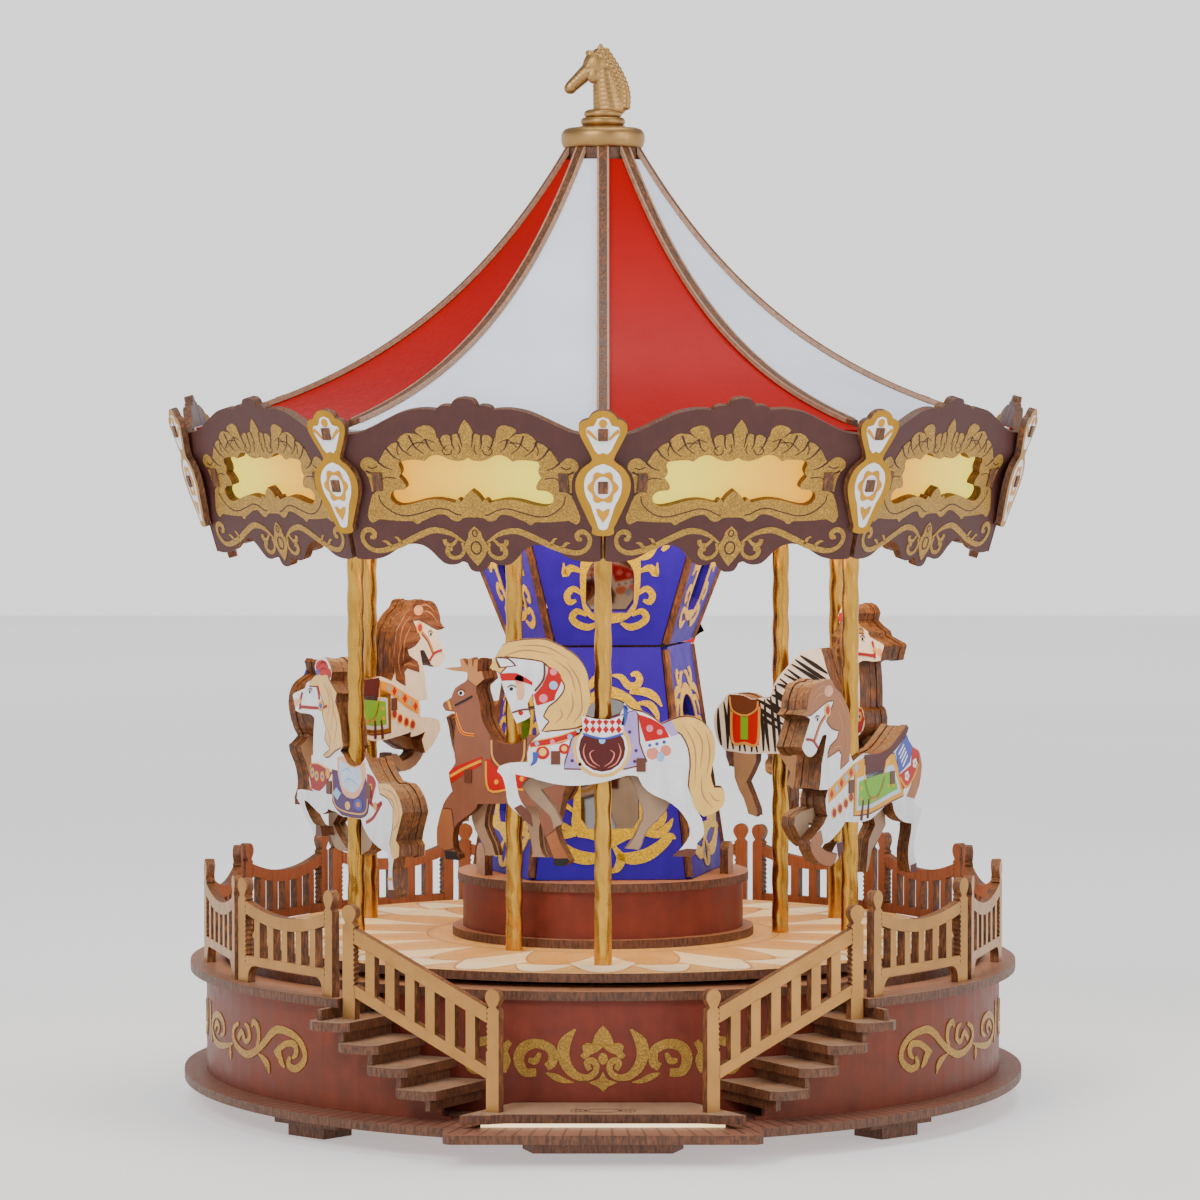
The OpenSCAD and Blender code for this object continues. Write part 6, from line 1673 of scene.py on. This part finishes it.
def animal(node, pole, species, turn, rise):
    """Four glued plies with scorched edges and the print on both outer faces."""
    x, y, _, _ = pole_place(pole)
    place = by_matrix(moved(x, y, rise) @ turned(turn) @ UPRIGHT)
    keys = sorted({item[2] for item in species["paint"] + species["leg_paint"]} | {"dun", "brown"})
    piece = Piece(node + "_plies", frame_body(node), "animal_paint",
                  [PAINT[species["base"]], M["edge"]] + [PAINT[key] for key in keys])
    body = closed(species["body"], 2)
    near = [closed(leg, 2) for leg in species["near"]]
    far = [closed(leg, 2) for leg in species["far"]]
    dun = 2 + keys.index("dun")
    bare = dun if species.get("bare_far_legs") else None
    for i, shrink in enumerate((0.0, TUCK, TUCK, 0.0)):
        piece.prism(inset(body, shrink), (i - 2) * PLY_T + PLY_GAP, (i - 1) * PLY_T - PLY_GAP, place,
                    0 if i == 3 else 1, 1, (), 0 if i == 0 else 1)
    for i, shrink in enumerate((0.05, TUCK + 0.05)):
        for leg in near:
            piece.prism(inset(leg, shrink), (1 - i) * PLY_T + 0.1, (2 - i) * PLY_T - 0.12, place,
                        0 if i == 0 else 1, 1, (), dun)
        for leg in far:
            piece.prism(inset(leg, shrink), (i - 2) * PLY_T + 0.12, (i - 1) * PLY_T - 0.1, place,
                        dun, 1, (), (bare or 0) if i == 0 else 1)
    for face in (1, -1):
        top = (2 * PLY_T - PLY_GAP) * face
        for items, limits, lower in ((species["paint"], [body], 0.0), (species["leg_paint"], near, 0.04)):
            if face < 0 and items is species["leg_paint"]:
                continue
            for kind, layer, key, shape in items:
                mat = 2 + keys.index(key)
                low, high = sorted((top - lower * face - 0.1 * face, top + face * (PRINT * layer - lower)))
                if kind == "fill":
                    outline = kept(shape, limits)
                    if layer == 2 and abs(area(outline)) > 20:
                        under = kept(inset(outline, -0.45), limits)
                        piece.prism(under, *sorted((low, top + face * (PRINT - lower))), place,
                                    2 + keys.index("brown"))
                    if abs(area(outline)) > 0.05:
                        piece.prism(outline, low, high, place, mat)
                else:
                    piece.ribbon((kept(shape[0], limits), kept(shape[1], limits)), low, high, place, mat)
    return piece.finish(replaces=(node,))


# Node, its pole, its drawing, degrees round the spindle, millimetres above the drawn height
ANIMALS = (
    ("horse_front", "pole_1", ARAB, 0, 0), ("horse_left_front", "pole_2", PLUME, -60, 0),
    ("horse_left_back", "pole_3", BOWED, -120, 17.4), ("horse_back", "pole_4", ARAB, 180, 2),
    ("horse_right_back", "pole_5", PLUME, 120, 13), ("horse_right_front", "pole_6", BOWED, 60, 0),
    ("deer_front", "pole_7", DEER, -29, 0), ("zebra_right", "pole_8", ZEBRA, 150, 0),
    ("deer_back", "pole_9", DEER, 211, 4),
)


# ------------------------------------------------------------------ scene

FLOOR_NEAR, FLOOR_FAR = 0.62, 1.08          # own light of the floor, so that it meets the sky
SKY = ((0.12, 1.45), (0.32, 0.34))          # height of the direction and brightness there
LAMPS = (("key", (-0.9, -1.5, 1.3), 0.8, 24), ("side", (1.3, -0.9, 0.8), 0.9, 10),
         ("top", (0.1, 0.3, 1.6), 1.2, 16))  # name, place, width in metres, watts
LAMP_TARGET = (0, 0, 0.15)
CANOPY_GLOW = (0.19, 0.6)                   # width in metres and watts of the lamps in the canopy
UNDER_CANOPY = 0.168
CAMERA_AWAY, CAMERA_HEIGHT, CAMERA_DOWN = 1475, 210.5, 2.52


def studio():
    """Pale floor, soft box lights and the camera. Places are metres here."""
    size = 3.0
    floor_mesh = bpy.data.meshes.new("floor")
    floor_mesh.from_pydata([(x, y, 0) for x, y in rect(-size, -size, size, size)], [], [(0, 1, 2, 3)])
    floor = bpy.data.objects.new("floor", floor_mesh)
    bpy.context.collection.objects.link(floor)
    n = Nodes("pale_floor")
    cloud = n.noise(3, 2)
    tone = n.ramp(cloud, [(0.3, (0.74, 0.74, 0.74)), (0.7, (0.78, 0.78, 0.78))])
    far = n.math("MINIMUM", n.math("DIVIDE", from_spindle(n)[0], size), 1.0)
    floor_mesh.materials.append(n.set(Base_Color=tone, Roughness=n.spread(cloud, 0.55, 0.65),
                                      Emission_Color=tone,
                                      Emission_Strength=n.spread(far, FLOOR_NEAR, FLOOR_FAR)))
    world = bpy.data.worlds.new("studio")
    world.use_nodes = True
    tree = world.node_tree
    back = tree.nodes["Background"]
    back.inputs["Strength"].default_value = 1.0
    spot = tree.nodes.new("ShaderNodeTexCoord")
    split = tree.nodes.new("ShaderNodeSeparateXYZ")
    band = tree.nodes.new("ShaderNodeValToRGB")
    tree.links.new(spot.outputs["Generated"], split.inputs[0])
    tree.links.new(split.outputs[2], band.inputs["Fac"])
    tree.links.new(band.outputs["Color"], back.inputs["Color"])
    for element, (at, level) in zip(band.color_ramp.elements, SKY):
        element.position = at
        element.color = (level, level, level * 1.01, 1)
    bpy.context.scene.world = world
    for name, place, wide, power in LAMPS:
        lamp = bpy.data.lights.new(name, "AREA")
        lamp.shape = "SQUARE"
        lamp.size = wide
        lamp.energy = power
        holder = bpy.data.objects.new(name, lamp)
        holder.location = place
        aim = Vector(LAMP_TARGET) - Vector(place)
        holder.rotation_mode = "QUATERNION"
        holder.rotation_quaternion = aim.to_track_quat("-Z", "Y")
        bpy.context.collection.objects.link(holder)
    glow = bpy.data.lights.new("canopy_lamp", "AREA")
    glow.shape = "DISK"
    glow.size, glow.energy = CANOPY_GLOW
    glow.color = (1.0, 0.70, 0.36)
    lamp_holder = bpy.data.objects.new("canopy_lamp", glow)
    lamp_holder.location = (0, AXIS_Y * MM, UNDER_CANOPY)
    bpy.context.collection.objects.link(lamp_holder)
    lens = bpy.data.cameras.new("camera")
    lens.lens = 150
    lens.sensor_width = 36
    lens.shift_x = -0.0025
    camera = bpy.data.objects.new("camera", lens)
    camera.location = (0, (AXIS_Y - CAMERA_AWAY) * MM, CAMERA_HEIGHT * MM)
    camera.rotation_euler = (math.radians(90 - CAMERA_DOWN), 0, 0)
    bpy.context.collection.objects.link(camera)
    bpy.context.scene.camera = camera


frieze()
cartouches()
roof()
finial()
tower_scrolls()
poles()
base_ornament()
fence_boards()
stair_rails()
landing_details()
for row in ANIMALS:
    animal(*row)
studio()
